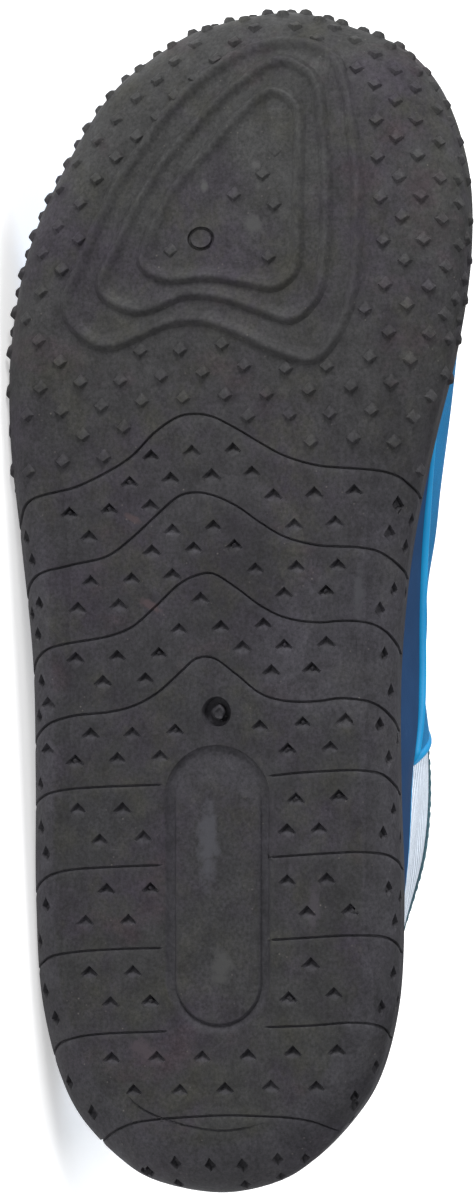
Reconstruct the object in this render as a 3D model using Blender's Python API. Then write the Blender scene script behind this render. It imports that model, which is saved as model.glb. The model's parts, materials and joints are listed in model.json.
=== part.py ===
"""Water shoe for the right foot: rubber cup sole, hollow stretch upper, insole and trims.

Shoe axes while modelling: U runs from heel to toe, V to the inner (medial) side, W up.
At the end the whole shoe is laid on its outer side, sole edge and upper both on the floor.
"""
import bpy
import bmesh
import math
import numpy as np
from mathutils import Matrix, Vector
from mathutils.geometry import delaunay_2d_cdt

# Driving sizes, metres
LENGTH = 0.284          # outsole, heel to toe
BALL = 0.110            # outsole breadth at the ball
INSTEP_HEIGHT = 0.080   # top of the throat above the tread
TOE_SPRING = 0.013
ARCH_RISE = 0.0022
WALL_ROUND = 0.011      # height at which the rounded wall is widest
FLOOR = 0.005           # thickness of the sole under the foot
RIM_THICK = 0.0026
RIM_LEAN = 0.0008
GAP = 0.0003
FABRIC = 0.0026
CUP_INSET = 0.0045      # from the outline to the lower edge of the upper
INSOLE_INSET = 0.0002   # clear of the upper
BAND_LIFT = 0.00015     # trims stand this much further off than the gap
INSOLE_THICK = 0.0040
BINDING_WIDTH = 0.0050
BINDING_SWELL = 0.0007
BAND_THICK = 0.0009
BAND_ROWS = 5
PIPING_WIDTH = 0.0032
PIPING_RISE = 0.0019

# Tread relief, metres
GROOVE_DEPTH = 0.0010
GROOVE_RUN = 0.0024
RING_RISE = 0.0008
RING_HALF = 0.0014
CHANNEL_DEPTH = 0.0012
CHANNEL_WIDTH = 0.0032
STUD = {"half": 0.0020, "toe": 0.0022, "heel": 0.0017, "rise": 0.0013}
PIT = {"half": 0.0019, "toe": 0.0017, "heel": 0.0021, "rise": -0.0010}
STUD_PITCH = 0.0096
STUD_ROW = 0.0047
PIT_PITCH = 0.0102

HALF = 40               # stations along each side of the outline
STATIONS = 2 * HALF

# Outline: share of length, outer and inner half breadths as shares of the ball breadth
OUTLINE = (
    (0.010, -0.145, 0.135), (0.025, -0.212, 0.204), (0.060, -0.304, 0.295),
    (0.095, -0.352, 0.354), (0.160, -0.394, 0.402), (0.250, -0.408, 0.415),
    (0.350, -0.408, 0.409), (0.450, -0.413, 0.411), (0.550, -0.440, 0.438),
    (0.640, -0.465, 0.487), (0.720, -0.464, 0.535), (0.800, -0.428, 0.557),
    (0.870, -0.352, 0.541), (0.935, -0.249, 0.473), (0.970, -0.136, 0.387),
    (0.985, -0.066, 0.295),
)
HEEL_TIP = (0.0, 0.010)
TOE_TIP = (1.0, 0.143)

# Side wall: share of length, outer flare, inner flare, rim height above the tread, metres
WALL = (
    (0.00, 0.0155, 0.0155, 0.0205), (0.08, 0.0135, 0.0130, 0.0200),
    (0.20, 0.0095, 0.0085, 0.0185), (0.45, 0.0092, 0.0082, 0.0180),
    (0.60, 0.0118, 0.0130, 0.0185), (0.80, 0.0120, 0.0130, 0.0205),
    (1.00, 0.0130, 0.0130, 0.0225),
)

# Wave grooves: sideways share of ball, then the share of length of each of four grooves
WAVES = (
    (-0.400, 0.585, 0.510, 0.443, 0.386), (-0.364, 0.590, 0.527, 0.459, 0.400),
    (-0.291, 0.599, 0.534, 0.468, 0.406), (-0.218, 0.612, 0.541, 0.473, 0.409),
    (-0.164, 0.625, 0.556, 0.481, 0.414), (-0.109, 0.646, 0.575, 0.499, 0.425),
    (-0.055, 0.659, 0.592, 0.518, 0.443), (-0.018, 0.661, 0.595, 0.525, 0.455),
    (0.018, 0.659, 0.593, 0.527, 0.456), (0.073, 0.649, 0.584, 0.515, 0.442),
    (0.127, 0.637, 0.570, 0.500, 0.426), (0.182, 0.626, 0.558, 0.490, 0.420),
    (0.255, 0.618, 0.551, 0.486, 0.420), (0.327, 0.617, 0.551, 0.484, 0.422),
    (0.400, 0.614, 0.544, 0.476, 0.413), (0.440, 0.607, 0.530, 0.463, 0.403),
)

# Cross grooves beside the long pad: share of length at outer edge, outer corner, pad;
# then at pad, inner corner, inner edge
CROSS_SIDE = (-0.385, -0.318, -0.115, 0.165, 0.340, 0.415)
CROSS = (
    (0.325, 0.343, 0.350, 0.355, 0.361, 0.346),
    (0.261, 0.276, 0.281, 0.286, 0.291, 0.282),
    (0.196, 0.204, 0.210, 0.216, 0.220, 0.211),
    (0.126, 0.134, 0.139, 0.143, 0.148, 0.139),
)
HEEL_GROOVE = ((-0.197, 0.050), (-0.118, 0.063), (0.140, 0.068), (0.225, 0.066), (0.300, 0.055))

# Raised rings in the forefoot: angle from the toe direction, then outer, middle and inner
# radius as shares of the ball breadth
RING_CENTRE = (0.832, 0.062)
RINGS = (
    (0, 0.345, 0.280, 0.207), (15, 0.382, 0.339, 0.270), (30, 0.394, 0.331, 0.261),
    (45, 0.346, 0.268, 0.197), (60, 0.301, 0.230, 0.163), (75, 0.282, 0.212, 0.146),
    (90, 0.275, 0.206, 0.143), (105, 0.287, 0.214, 0.148), (120, 0.315, 0.235, 0.167),
    (135, 0.350, 0.266, 0.191), (150, 0.372, 0.272, 0.191), (165, 0.305, 0.222, 0.163),
    (180, 0.259, 0.195, 0.150), (195, 0.247, 0.191, 0.149), (210, 0.281, 0.211, 0.166),
    (225, 0.415, 0.308, 0.209), (240, 0.435, 0.345, 0.236), (255, 0.348, 0.271, 0.197),
    (270, 0.297, 0.229, 0.166), (285, 0.273, 0.206, 0.152), (300, 0.257, 0.199, 0.140),
    (315, 0.261, 0.197, 0.139), (330, 0.278, 0.208, 0.145), (345, 0.305, 0.235, 0.164),
)
INNER_STUDS = (
    (0.888, 0.170), (0.867, 0.140), (0.850, 0.075), (0.843, 0.170), (0.800, -0.065), (0.797, 0.160),
)

# Long pad: share of length at heel end and toe end of its channel, centre, half breadth
PAD = {"heel": 0.137, "toe": 0.381, "centre": 0.029, "half": 0.118}
GATE_RING = (0.808, -0.013)
GATE_HOLE = (0.4095, 0.028)

# Collar: share of length, outer and inner half breadths, height as a share of the instep
COLLAR = (
    (0.508, -0.080, 0.125, 0.985), (0.470, -0.175, 0.225, 0.935), (0.410, -0.240, 0.305, 0.860),
    (0.350, -0.278, 0.348, 0.800), (0.280, -0.292, 0.350, 0.752), (0.200, -0.278, 0.294, 0.735),
    (0.110, -0.235, 0.236, 0.780), (0.055, -0.150, 0.160, 0.855),
)
COLLAR_FRONT = (0.520, 0.028, 1.000)
COLLAR_BACK = (0.036, 0.008, 0.895)

# Upper sections from toe (0) to heel (1) along each side: place on the collar, then in metres
# the rise that leaves the sole, its bulge on the outer and inner side, and the collar's pull
SECTIONS = (
    (0.00, 0.000, 0.017, 0.0010, 0.0010, 0.056), (0.12, 0.030, 0.018, 0.0010, -0.0020, 0.054),
    (0.25, 0.085, 0.020, 0.0018, -0.0022, 0.043), (0.38, 0.160, 0.021, 0.0026, 0.0000, 0.028),
    (0.50, 0.270, 0.021, 0.0030, 0.0018, 0.016), (0.62, 0.420, 0.019, 0.0028, 0.0020, 0.013),
    (0.75, 0.600, 0.017, 0.0018, 0.0012, 0.014), (0.88, 0.800, 0.017, 0.0006, -0.0010, 0.014),
    (1.00, 1.000, 0.019, 0.0000, -0.0010, 0.016),
)
# Direction in which the upper leaves the collar: place on the collar, outward, downward
COLLAR_LEAVE = (
    (0.0, 0.93, 0.36), (0.15, 0.86, 0.50), (0.35, 0.50, 0.87), (0.60, 0.24, 0.97), (1.0, 0.10, 0.99),
)

# Side band: share of length, height of its top edge above the rim, metres
BAND = (
    (0.235, 0.0030), (0.300, 0.0100), (0.380, 0.0185), (0.450, 0.0200),
    (0.520, 0.0160), (0.590, 0.0090), (0.650, 0.0030),
)
PIPING_FROM, PIPING_TO = 0.375, 0.650


def column(table, index):
    return np.array([row[index] for row in table])


def blend(x, table, index):
    """Smooth value of a table column at x, by a monotone cubic."""
    xs, ys = column(table, 0), column(table, index)
    slopes = np.diff(ys) / np.diff(xs)
    ends = np.concatenate(([slopes[0]], slopes, [slopes[-1]]))
    product = ends[:-1] * ends[1:]
    total = ends[:-1] + ends[1:]
    tangent = np.where(product > 0, 2 * product / np.where(total == 0, 1, total), 0.0)
    x = np.clip(x, xs[0], xs[-1])
    k = np.clip(np.searchsorted(xs, x) - 1, 0, len(xs) - 2)
    step = xs[k + 1] - xs[k]
    t = (x - xs[k]) / step
    low = (1 + 2 * t) * (1 - t) ** 2 * ys[k] + t * (1 - t) ** 2 * step * tangent[k]
    high = t * t * (3 - 2 * t) * ys[k + 1] + t * t * (t - 1) * step * tangent[k + 1]
    return low + high


def spline(points, closed, per=16):
    """Centripetal curve through the points."""
    p = np.asarray(points, float)
    if closed:
        p = np.vstack((p[-1], p, p[0], p[1]))
    else:
        p = np.vstack((2 * p[0] - p[1], p, 2 * p[-1] - p[-2]))
    out = []
    for a, b, c, d in zip(p[:-3], p[1:-2], p[2:-1], p[3:]):
        k = np.cumsum([0.0] + [max(np.linalg.norm(q), 1e-9) ** 0.5 for q in (b - a, c - b, d - c)])
        for t in np.linspace(k[1], k[2], per, endpoint=False):
            ab = a + (b - a) * (t - k[0]) / (k[1] - k[0])
            bc = b + (c - b) * (t - k[1]) / (k[2] - k[1])
            cd = c + (d - c) * (t - k[2]) / (k[3] - k[2])
            abc = ab + (bc - ab) * (t - k[0]) / (k[2] - k[0])
            bcd = bc + (cd - bc) * (t - k[1]) / (k[3] - k[1])
            out.append(abc + (bcd - abc) * (t - k[1]) / (k[2] - k[1]))
    if not closed:
        out.append(p[-2])
    return np.array(out)


def evenly(points, count):
    """The same open line with count even steps."""
    p = np.asarray(points, float)
    reach = np.concatenate(([0.0], np.cumsum(np.linalg.norm(np.diff(p, axis=0), axis=1))))
    at = np.linspace(0, reach[-1], count + 1)
    return np.stack([np.interp(at, reach, p[:, k]) for k in range(p.shape[1])], -1)


def side_lines(rows, start, end, width):
    """Closed loop through both sides of a table, as STATIONS points from start round by V-."""
    outer = [start] + [row[0] for row in rows] + [end]
    inner = [row[1] for row in rows][::-1]
    loop = spline(outer + inner, True, 24)
    turn = 24 * (len(rows) + 1)
    first = evenly(loop[:turn + 1], HALF)
    second = evenly(np.vstack((loop[turn:], loop[:1])), HALF)
    return np.vstack((first[:-1], second[:-1])) * width


def outline_loop():
    rows = [((u, a), (u, b)) for u, a, b in reversed(OUTLINE)]
    scaled = [tuple((u * LENGTH, v * BALL) for u, v in pair) for pair in rows]
    toe = (TOE_TIP[0] * LENGTH, TOE_TIP[1] * BALL)
    heel = (HEEL_TIP[0] * LENGTH, HEEL_TIP[1] * BALL)
    return side_lines(scaled, toe, heel, 1.0)


def outward(loop):
    """Unit normals of a plan loop that runs toe, V-, heel, V+."""
    along = np.roll(loop, -1, 0)[:, :2] - np.roll(loop, 1, 0)[:, :2]
    normal = np.stack((-along[:, 1], along[:, 0]), -1)
    normal /= np.linalg.norm(normal, axis=1)[:, None]
    middle = loop[:, :2].mean(0)
    sign = np.sign(np.sum((loop[:, :2] - middle) * normal, axis=1).sum())
    return normal * sign


def spring(u):
    s = np.clip((np.asarray(u) / LENGTH - 0.616) / 0.384, 0, None)
    return TOE_SPRING * s ** 2


def arch(u, v):
    s = np.clip(1 - np.abs(np.asarray(u) / LENGTH - 0.465) / 0.082, 0, 1)
    side = np.clip(np.asarray(v) / (0.33 * BALL), 0, 1)
    return ARCH_RISE * (s * s * (3 - 2 * s)) * side * side


OUT = outline_loop()
OUT_NORMAL = outward(OUT)
SIDE = np.where(np.arange(STATIONS) <= HALF, 1, 2)
SHARE = OUT[:, 0] / LENGTH
FLARE = np.where(SIDE == 1, blend(SHARE, WALL, 1), blend(SHARE, WALL, 2))
RIM = blend(SHARE, WALL, 3)
BASE = spring(OUT[:, 0])


def edge_distance(points):
    """Distance from each plan point to the outline, with the flare there."""
    a = OUT
    b = np.roll(OUT, -1, 0)
    flare_next = np.roll(FLARE, -1)
    edge = b - a
    t = np.clip(np.einsum("pij,ij->pi", points[:, None] - a, edge) / np.sum(edge * edge, 1), 0, 1)
    gap = points[:, None] - (a + t[..., None] * edge)
    far = np.linalg.norm(gap, axis=2)
    k = far.argmin(1)
    row = np.arange(len(points))
    s = t[row, k]
    return far[row, k], FLARE[k] * (1 - s) + flare_next[k] * s


def bottom_height(points):
    """Height of the underside over the plan, before its relief."""
    points = np.asarray(points, float)
    far, flare = edge_distance(points)
    x = np.clip(1 - far / flare, 0, 1)
    lift = WALL_ROUND * (1 - np.sqrt(np.clip(1 - x * x, 0, 1)))
    return spring(points[:, 0]) + arch(points[:, 0], points[:, 1]) * (1 - x) + lift, x


def bottom_normal(points):
    step = 0.0002
    grads = []
    for axis in ((step, 0.0), (0.0, step)):
        high = bottom_height(points + np.array(axis))[0]
        low = bottom_height(points - np.array(axis))[0]
        grads.append((high - low) / (2 * step))
    normal = np.stack((-grads[0], -grads[1], np.ones(len(points))), -1)
    return normal / np.linalg.norm(normal, axis=1)[:, None]


class Relief:
    """Plan points with levels and the lines that the underside's mesh must keep."""

    def __init__(self):
        self.points = []
        self.levels = []
        self.lines = []

    def line(self, points, level, closed):
        first = len(self.points)
        for p in points:
            self.points.append((float(p[0]), float(p[1])))
            self.levels.append(level)
        last = len(self.points)
        self.lines += [(k, k + 1) for k in range(first, last - 1)]
        if closed:
            self.lines.append((last - 1, first))
        return list(range(first, last))

    def wedge(self, centre, size):
        """A raised or sunk diamond with one steep V side."""
        u, v = centre
        toe, heel, half = size["toe"], size["heel"], size["half"]
        ring = self.line([(u + toe, v), (u, v - half), (u - heel, v), (u, v + half)], 0.0, True)
        steep = u - heel + 0.0004 if size["rise"] > 0 else u + toe - 0.0004
        peak = len(self.points)
        self.points.append((steep, v))
        self.levels.append(size["rise"])
        self.lines += [(peak, k) for k in ring]

    def groove(self, points):
        """A groove with a steep toe side and a floor that ramps up to the heel side."""
        p = np.asarray(points, float)
        p = evenly(p, 60)
        p = p[[inside(OUT, q) and edge_distance(q[None])[0][0] > 0.0016 for q in p]]
        p = evenly(p, max(4, int(len(p) / 4)))
        first = len(self.points)
        self.points += [tuple(p[0]), tuple(p[-1])]
        self.levels += [0.0, 0.0]
        for shift, level in ((0.0, 0.0), (0.0004, -GROOVE_DEPTH), (GROOVE_RUN, 0.0)):
            ids = self.line([(q[0] - shift, q[1]) for q in p[1:-1]], level, False)
            self.lines += [(first, ids[0]), (ids[-1], first + 1)]

    def loops(self, centre_loop, offsets):
        """Closed parallel lines with their own levels."""
        normal = outward(centre_loop)
        for shift, level in offsets:
            self.line(centre_loop + normal * shift, level, True)


def wave_at(k, v):
    return np.interp(v, column(WAVES, 0) * BALL, column(WAVES, k) * LENGTH)


def cross_at(row, v):
    return np.interp(v, np.array(CROSS_SIDE) * BALL, np.array(row) * LENGTH)


def heel_at(v):
    return np.interp(v, column(HEEL_GROOVE, 0) * BALL, column(HEEL_GROOVE, 1) * LENGTH)


def ring_loop(k, count):
    rows = []
    for row in RINGS:
        angle = math.radians(row[0])
        along, across = row[k] * BALL * math.cos(angle), row[k] * BALL * math.sin(angle)
        rows.append((RING_CENTRE[0] * LENGTH + along, RING_CENTRE[1] * BALL + across))
    loop = spline(rows, True, 8)
    return evenly(np.vstack((loop, loop[:1])), count)[:-1]


def pad_loop(shrink, arcs=7):
    """Long pad outline: straight sides and round ends."""
    half = PAD["half"] * BALL - shrink
    low = PAD["heel"] * LENGTH + PAD["half"] * BALL
    high = PAD["toe"] * LENGTH - PAD["half"] * BALL
    centre = PAD["centre"] * BALL
    turn = np.linspace(-math.pi / 2, math.pi / 2, arcs)
    ring = [(high + half * math.cos(a), centre - half * math.sin(a)) for a in turn]
    ring += [(low - half * math.cos(a), centre - half * math.sin(a)) for a in -turn]
    return np.array(ring)


def circle(centre, radius, count):
    u, v = centre[0] * LENGTH, centre[1] * BALL
    turn = np.linspace(0, 2 * math.pi, count, endpoint=False)
    return [(u + radius * math.cos(a), v + radius * math.sin(a)) for a in turn]


def inside(loop, point):
    hit = False
    for (x0, y0), (x1, y1) in zip(loop, np.roll(loop, -1, 0)):
        if (y0 > point[1]) != (y1 > point[1]):
            if point[0] < (x1 - x0) * (point[1] - y0) / (y1 - y0) + x0:
                hit = not hit
    return hit


def near(loop, point, reach):
    return np.min(np.linalg.norm(np.asarray(loop) - np.asarray(point), axis=1)) < reach


def band_limits(v):
    """Toe side to heel side: where each band between grooves begins and ends at v."""
    lines = [wave_at(k, v) for k in (1, 2, 3, 4)] + [cross_at(row, v) for row in CROSS] + [heel_at(v)]
    return list(zip(lines[:-1], lines[1:]))


def tread_relief():
    relief = Relief()
    outer_ring = ring_loop(1, 34)
    for k, count in ((1, 34), (2, 28), (3, 22)):
        relief.loops(ring_loop(k, count), ((-RING_HALF, 0.0), (0.0, RING_RISE), (RING_HALF, 0.0)))
    for k in (1, 2, 3, 4):
        relief.groove([(u * LENGTH, v * BALL) for v, u in zip(column(WAVES, 0), column(WAVES, k))])
    for row in CROSS:
        relief.groove([(row[j] * LENGTH, CROSS_SIDE[j] * BALL) for j in (0, 1, 2)])
        relief.groove([(row[j] * LENGTH, CROSS_SIDE[j] * BALL) for j in (3, 4, 5)])
    relief.groove([(u * LENGTH, v * BALL) for v, u in HEEL_GROOVE])
    wall = 0.125 * CHANNEL_WIDTH
    steps = ((0.0, 0.0), (wall, -CHANNEL_DEPTH), (CHANNEL_WIDTH - wall, -CHANNEL_DEPTH), (CHANNEL_WIDTH, 0.0))
    for shrink, level in steps:
        relief.line(pad_loop(shrink), level, True)
    for radius, level in ((0.0031, 0.0), (0.0027, -0.0008), (0.0023, 0.0)):
        relief.line(circle(GATE_RING, radius, 10), level, True)
    for radius, level in ((0.0034, 0.0), (0.0030, -0.0012)):
        relief.line(circle(GATE_HOLE, radius, 10), level, True)

    for u, v in INNER_STUDS:
        relief.wedge((u * LENGTH, v * BALL), STUD)
    ring_guard = ring_loop(1, 120)
    rows = int(LENGTH / STUD_ROW)
    for row in range(rows):
        u = LENGTH - 0.004 - row * STUD_ROW
        for col in range(-7, 8):
            v = (col + 0.5 * (row % 2)) * STUD_PITCH + 0.002
            point = np.array((u, v))
            if u < wave_at(1, v) + 0.0042 or inside(ring_guard, point) or near(ring_guard, point, 0.0042):
                continue
            if inside(OUT, point) and edge_distance(point[None])[0][0] > 0.0030:
                relief.wedge(point, STUD)
    pad = pad_loop(-0.0028, 16)
    for k, (high, low) in enumerate(band_limits(0.0)):
        for row in (0, 1):
            for col in range(-5, 6):
                v = (col + 0.5 * ((row + k) % 2)) * PIT_PITCH
                high, low = band_limits(v)[k]
                u = high - GROOVE_RUN - (0.30 + 0.45 * row) * (high - low - GROOVE_RUN)
                point = np.array((u, v))
                if not inside(OUT, point) or edge_distance(point[None])[0][0] < 0.0034:
                    continue
                if inside(pad, point) or near(circle(GATE_HOLE, 0.0034, 10), point, 0.0030):
                    continue
                relief.wedge(point, PIT)
    return relief


def underside():
    """Plan mesh of the tread and its rounded edge, ending on the outline."""
    relief = tread_relief()
    rim = relief.line(OUT, 0.0, True)
    taken = np.array(relief.points)
    free = []
    for x in (0.93, 0.80, 0.60, 0.35, 0.0):
        for k in range(0, STATIONS, 1 if x > 0.3 else 2):
            free.append(OUT[k] - OUT_NORMAL[k] * FLARE[k] * (1 - x))
    for u in np.arange(0.03, LENGTH, 0.017):
        for v in np.arange(-0.045, 0.06, 0.017):
            free.append(np.array((u, v)))
    ring_guard = [ring_loop(k, 60) for k in (1, 2, 3)]
    for p in free:
        if not inside(OUT, p):
            continue
        wall = bottom_height(p[None])[1][0]
        crowd = near(np.array(relief.points), p, 0.0030 if wall < 0.3 else 0.0008 if wall > 0.9 else 0.0014)
        if crowd or any(near(loop, p, 0.0020) for loop in ring_guard):
            continue
        relief.points.append((float(p[0]), float(p[1])))
        relief.levels.append(0.0)
    flat = [Vector(p) for p in relief.points]
    verts, _, faces, origin, _, _ = delaunay_2d_cdt(flat, relief.lines, [], 0, 1e-7)
    plan = np.array([tuple(v) for v in verts])
    given = np.array(relief.points)
    levels = []
    for k, ids in enumerate(origin):
        source = ids[0] if ids else int(np.argmin(np.linalg.norm(given - plan[k], axis=1)))
        levels.append(relief.levels[source])
    levels = np.array(levels)
    height, x = bottom_height(plan)
    solid = np.stack((plan[:, 0], plan[:, 1], height), -1)
    lifted = levels != 0
    solid[lifted] -= bottom_normal(plan[lifted]) * levels[lifted][:, None]
    ring = [None] * STATIONS
    for k, ids in enumerate(origin):
        for source in ids:
            if source in rim:
                ring[source - rim[0]] = k
    kept = []
    for face in faces:
        middle = plan[list(face)].mean(0)
        if inside(OUT, middle):
            kept.append(tuple(face))
    return solid, kept, ring


def ring_at(inset, height):
    plan = OUT - OUT_NORMAL * inset
    return np.stack((plan[:, 0], plan[:, 1], BASE + height), -1)


class Mesh:
    def __init__(self):
        self.points = []
        self.faces = []

    def add(self, points):
        first = len(self.points)
        self.points += [tuple(float(c) for c in p) for p in points]
        return list(range(first, first + len(points)))

    def bridge(self, low, high, closed=True):
        count = len(low)
        for k in range(count if closed else count - 1):
            n = (k + 1) % count
            if low[k] == low[n]:
                self.faces.append((low[k], high[n], high[k]))
            elif high[k] == high[n]:
                self.faces.append((low[k], low[n], high[k]))
            else:
                self.faces.append((low[k], low[n], high[n], high[k]))

    def ladder(self, ring):
        """Fill a ring by joining its outer and inner sides station by station."""
        for k in range(HALF):
            a, b = ring[k], ring[k + 1]
            c, d = ring[-(k + 1)], ring[-k] if k else ring[0]
            quad = [a, b, c, d]
            self.faces.append(tuple(dict.fromkeys(quad)))

    def build(self, name, colour, roughness, smooth=None):
        mesh = bpy.data.meshes.new(name)
        mesh.from_pydata(self.points, [], self.faces)
        shape = bmesh.new()
        shape.from_mesh(mesh)
        bmesh.ops.triangulate(shape, faces=shape.faces[:])
        bmesh.ops.recalc_face_normals(shape, faces=shape.faces[:])
        if shape.calc_volume(signed=True) < 0:
            bmesh.ops.reverse_faces(shape, faces=shape.faces[:])
        shape.to_mesh(mesh)
        shape.free()
        item = bpy.data.objects.new(name, mesh)
        bpy.context.scene.collection.objects.link(item)
        item.data.materials.append(finish(name, colour, roughness))
        return item


def finish(name, colour, roughness):
    material = bpy.data.materials.new(name)
    material.use_nodes = True
    shader = material.node_tree.nodes["Principled BSDF"]
    shader.inputs["Base Color"].default_value = (*colour, 1.0)
    shader.inputs["Roughness"].default_value = roughness
    shader.inputs["Metallic"].default_value = 0.0
    return material


def make_outsole():
    mesh = Mesh()
    solid, faces, ring = underside()
    mesh.add(solid)
    mesh.faces += faces
    rings = [ring]
    lip = 0.0005
    profile = (
        (0.0003, WALL_ROUND + 0.0035), (RIM_LEAN, RIM), (RIM_LEAN + 0.0005, RIM + lip),
        (RIM_LEAN + RIM_THICK - 0.0005, RIM + lip), (RIM_LEAN + RIM_THICK, RIM), (0.0042, FLOOR),
    )
    for inset, height in profile:
        rings.append(mesh.add(ring_at(inset, height)))
    for low, high in zip(rings[:-1], rings[1:]):
        mesh.bridge(low, high)
    mesh.ladder(rings[-1])
    return mesh.build("outsole", (0.052, 0.050, 0.054), 0.75)


def collar_loop():
    rows = []
    for u, a, b, h in COLLAR:
        rows.append(((u * LENGTH, a * BALL, h * INSTEP_HEIGHT), (u * LENGTH, b * BALL, h * INSTEP_HEIGHT)))
    front = (COLLAR_FRONT[0] * LENGTH, COLLAR_FRONT[1] * BALL, COLLAR_FRONT[2] * INSTEP_HEIGHT)
    back = (COLLAR_BACK[0] * LENGTH, COLLAR_BACK[1] * BALL, COLLAR_BACK[2] * INSTEP_HEIGHT)
    outer = [front] + [row[0] for row in rows] + [back]
    inner = [row[1] for row in rows][::-1]
    loop = spline(outer + inner, True, 30)
    turn = 30 * (len(rows) + 1)
    return loop[:turn + 1], np.vstack((loop[turn:], loop[:1]))[::-1]


def along_line(line, share):
    reach = np.concatenate(([0.0], np.cumsum(np.linalg.norm(np.diff(line, axis=0), axis=1))))
    return np.stack([np.interp(share * reach[-1], reach, line[:, k]) for k in range(line.shape[1])], -1)


FROM_TOE = np.minimum(np.arange(STATIONS), STATIONS - np.arange(STATIONS)) / HALF
ON_COLLAR = blend(FROM_TOE, SECTIONS, 1)
OUTER_COLLAR, INNER_COLLAR = collar_loop()
COLLAR_POINTS = np.where(
    (SIDE == 1)[:, None], along_line(OUTER_COLLAR, ON_COLLAR), along_line(INNER_COLLAR, ON_COLLAR))
COLLAR_NORMAL = outward(COLLAR_POINTS)


def section_lines():
    """One fine line per station, from just above the rim to the collar edge."""
    start = ring_at(RIM_LEAN + RIM_THICK + GAP, RIM + 0.0005)
    rise = blend(FROM_TOE, SECTIONS, 2)
    bulge = np.where(SIDE == 1, blend(FROM_TOE, SECTIONS, 3), blend(FROM_TOE, SECTIONS, 4))
    pull = blend(FROM_TOE, SECTIONS, 5)
    side = blend(ON_COLLAR, COLLAR_LEAVE, 1)
    down = blend(ON_COLLAR, COLLAR_LEAVE, 2)
    normal = np.column_stack((OUT_NORMAL, np.zeros(STATIONS)))
    first = start + normal * bulge[:, None]
    first[:, 2] += rise
    leave = np.column_stack((COLLAR_NORMAL * side[:, None], -down))
    last = COLLAR_POINTS + leave * pull[:, None]
    t = np.linspace(0, 1, 61)[:, None, None]
    lines = start * (1 - t) ** 3 + 3 * first * t * (1 - t) ** 2
    lines = lines + 3 * last * t * t * (1 - t) + COLLAR_POINTS * t ** 3
    return lines.transpose(1, 0, 2)


LINES = section_lines()
STEPS = np.linalg.norm(np.diff(LINES, axis=1), axis=2)
REACH = np.concatenate((np.zeros((STATIONS, 1)), np.cumsum(STEPS, axis=1)), axis=1)
SPAN = REACH[:, -1]


def on_upper(station, reach):
    """Point of the upper's outer face at a distance along a station's line."""
    line = LINES[station]
    return np.array([np.interp(reach, REACH[station], line[:, k]) for k in range(3)])


def upper_normal(station, reach):
    step = 0.0015
    up = on_upper(station, reach + step) - on_upper(station, reach - step)
    share = reach / SPAN[station]
    after, before = (station + 1) % STATIONS, (station - 1) % STATIONS
    across = on_upper(after, share * SPAN[after]) - on_upper(before, share * SPAN[before])
    normal = np.cross(across, up)
    normal /= np.linalg.norm(normal)
    out = np.append(OUT_NORMAL[station], 0.6)
    return normal if normal @ out > 0 else -normal


def upper_ring(distance, offset):
    """A loop of the upper's face at each station's distance, moved out by offset."""
    rows = []
    for k in range(STATIONS):
        reach = min(max(distance[k], 0.0), SPAN[k])
        safe = min(max(reach, 0.0016), SPAN[k] - 0.0016)
        rows.append(on_upper(k, reach) + upper_normal(k, safe) * offset)
    return np.array(rows)


UPPER_SHARES = (0.0, 0.09, 0.19, 0.30, 0.42, 0.54, 0.66, 0.77, 0.89, 1.0)


def make_upper():
    mesh = Mesh()
    top = SPAN - BINDING_WIDTH - GAP
    outer = [ring_at(CUP_INSET, FLOOR + GAP)]
    inner = [ring_at(CUP_INSET + FABRIC, FLOOR + GAP)]
    for share in UPPER_SHARES:
        outer.append(upper_ring(top * share, 0.0))
        inner.append(upper_ring(top * share, -FABRIC))
    inner[1] = ring_at(RIM_LEAN + RIM_THICK + GAP + FABRIC, RIM + 0.0005)
    outer_ids = [mesh.add(ring) for ring in outer]
    inner_ids = [mesh.add(ring) for ring in inner]
    for low, high in zip(outer_ids[:-1], outer_ids[1:]):
        mesh.bridge(low, high)
    for low, high in zip(inner_ids[:-1], inner_ids[1:]):
        mesh.bridge(high, low)
    mesh.bridge(outer_ids[-1], inner_ids[-1])
    mesh.bridge(inner_ids[0], outer_ids[0])
    return mesh.build("upper", (0.030, 0.180, 0.360), 0.8)


def make_insole():
    mesh = Mesh()
    low = mesh.add(ring_at(CUP_INSET + FABRIC + GAP + 2 * INSOLE_INSET, FLOOR + GAP))
    high = mesh.add(ring_at(CUP_INSET + FABRIC + GAP + INSOLE_INSET, FLOOR + GAP + INSOLE_THICK))
    mesh.bridge(low, high)
    mesh.ladder(low)
    mesh.ladder(high)
    return mesh.build("insole", (0.030, 0.035, 0.045), 0.9)


def make_binding():
    mesh = Mesh()
    low, middle, high = SPAN - BINDING_WIDTH, SPAN - 0.5 * BINDING_WIDTH, SPAN
    swell = BINDING_SWELL
    rings = [
        upper_ring(low, swell * 0.6), upper_ring(middle, swell), upper_ring(high - 0.0004, swell * 0.6),
        upper_ring(high, -0.5 * FABRIC), upper_ring(high - 0.0004, -FABRIC - swell * 0.6),
        upper_ring(middle, -FABRIC - swell), upper_ring(low, -FABRIC - swell * 0.6),
    ]
    ids = [mesh.add(ring) for ring in rings]
    for a, b in zip(ids, ids[1:] + ids[:1]):
        mesh.bridge(a, b)
    return mesh.build("collar_binding", (0.045, 0.115, 0.135), 0.7)


def side_stations(inner_side, start, end):
    picked = []
    for k in range(STATIONS):
        is_inner = k > HALF
        if is_inner == inner_side and start < SHARE[k] < end and k not in (0, HALF):
            picked.append(k)
    return picked


def band_top(station):
    return float(blend(np.array([SHARE[station]]), BAND, 1)[0])


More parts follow.
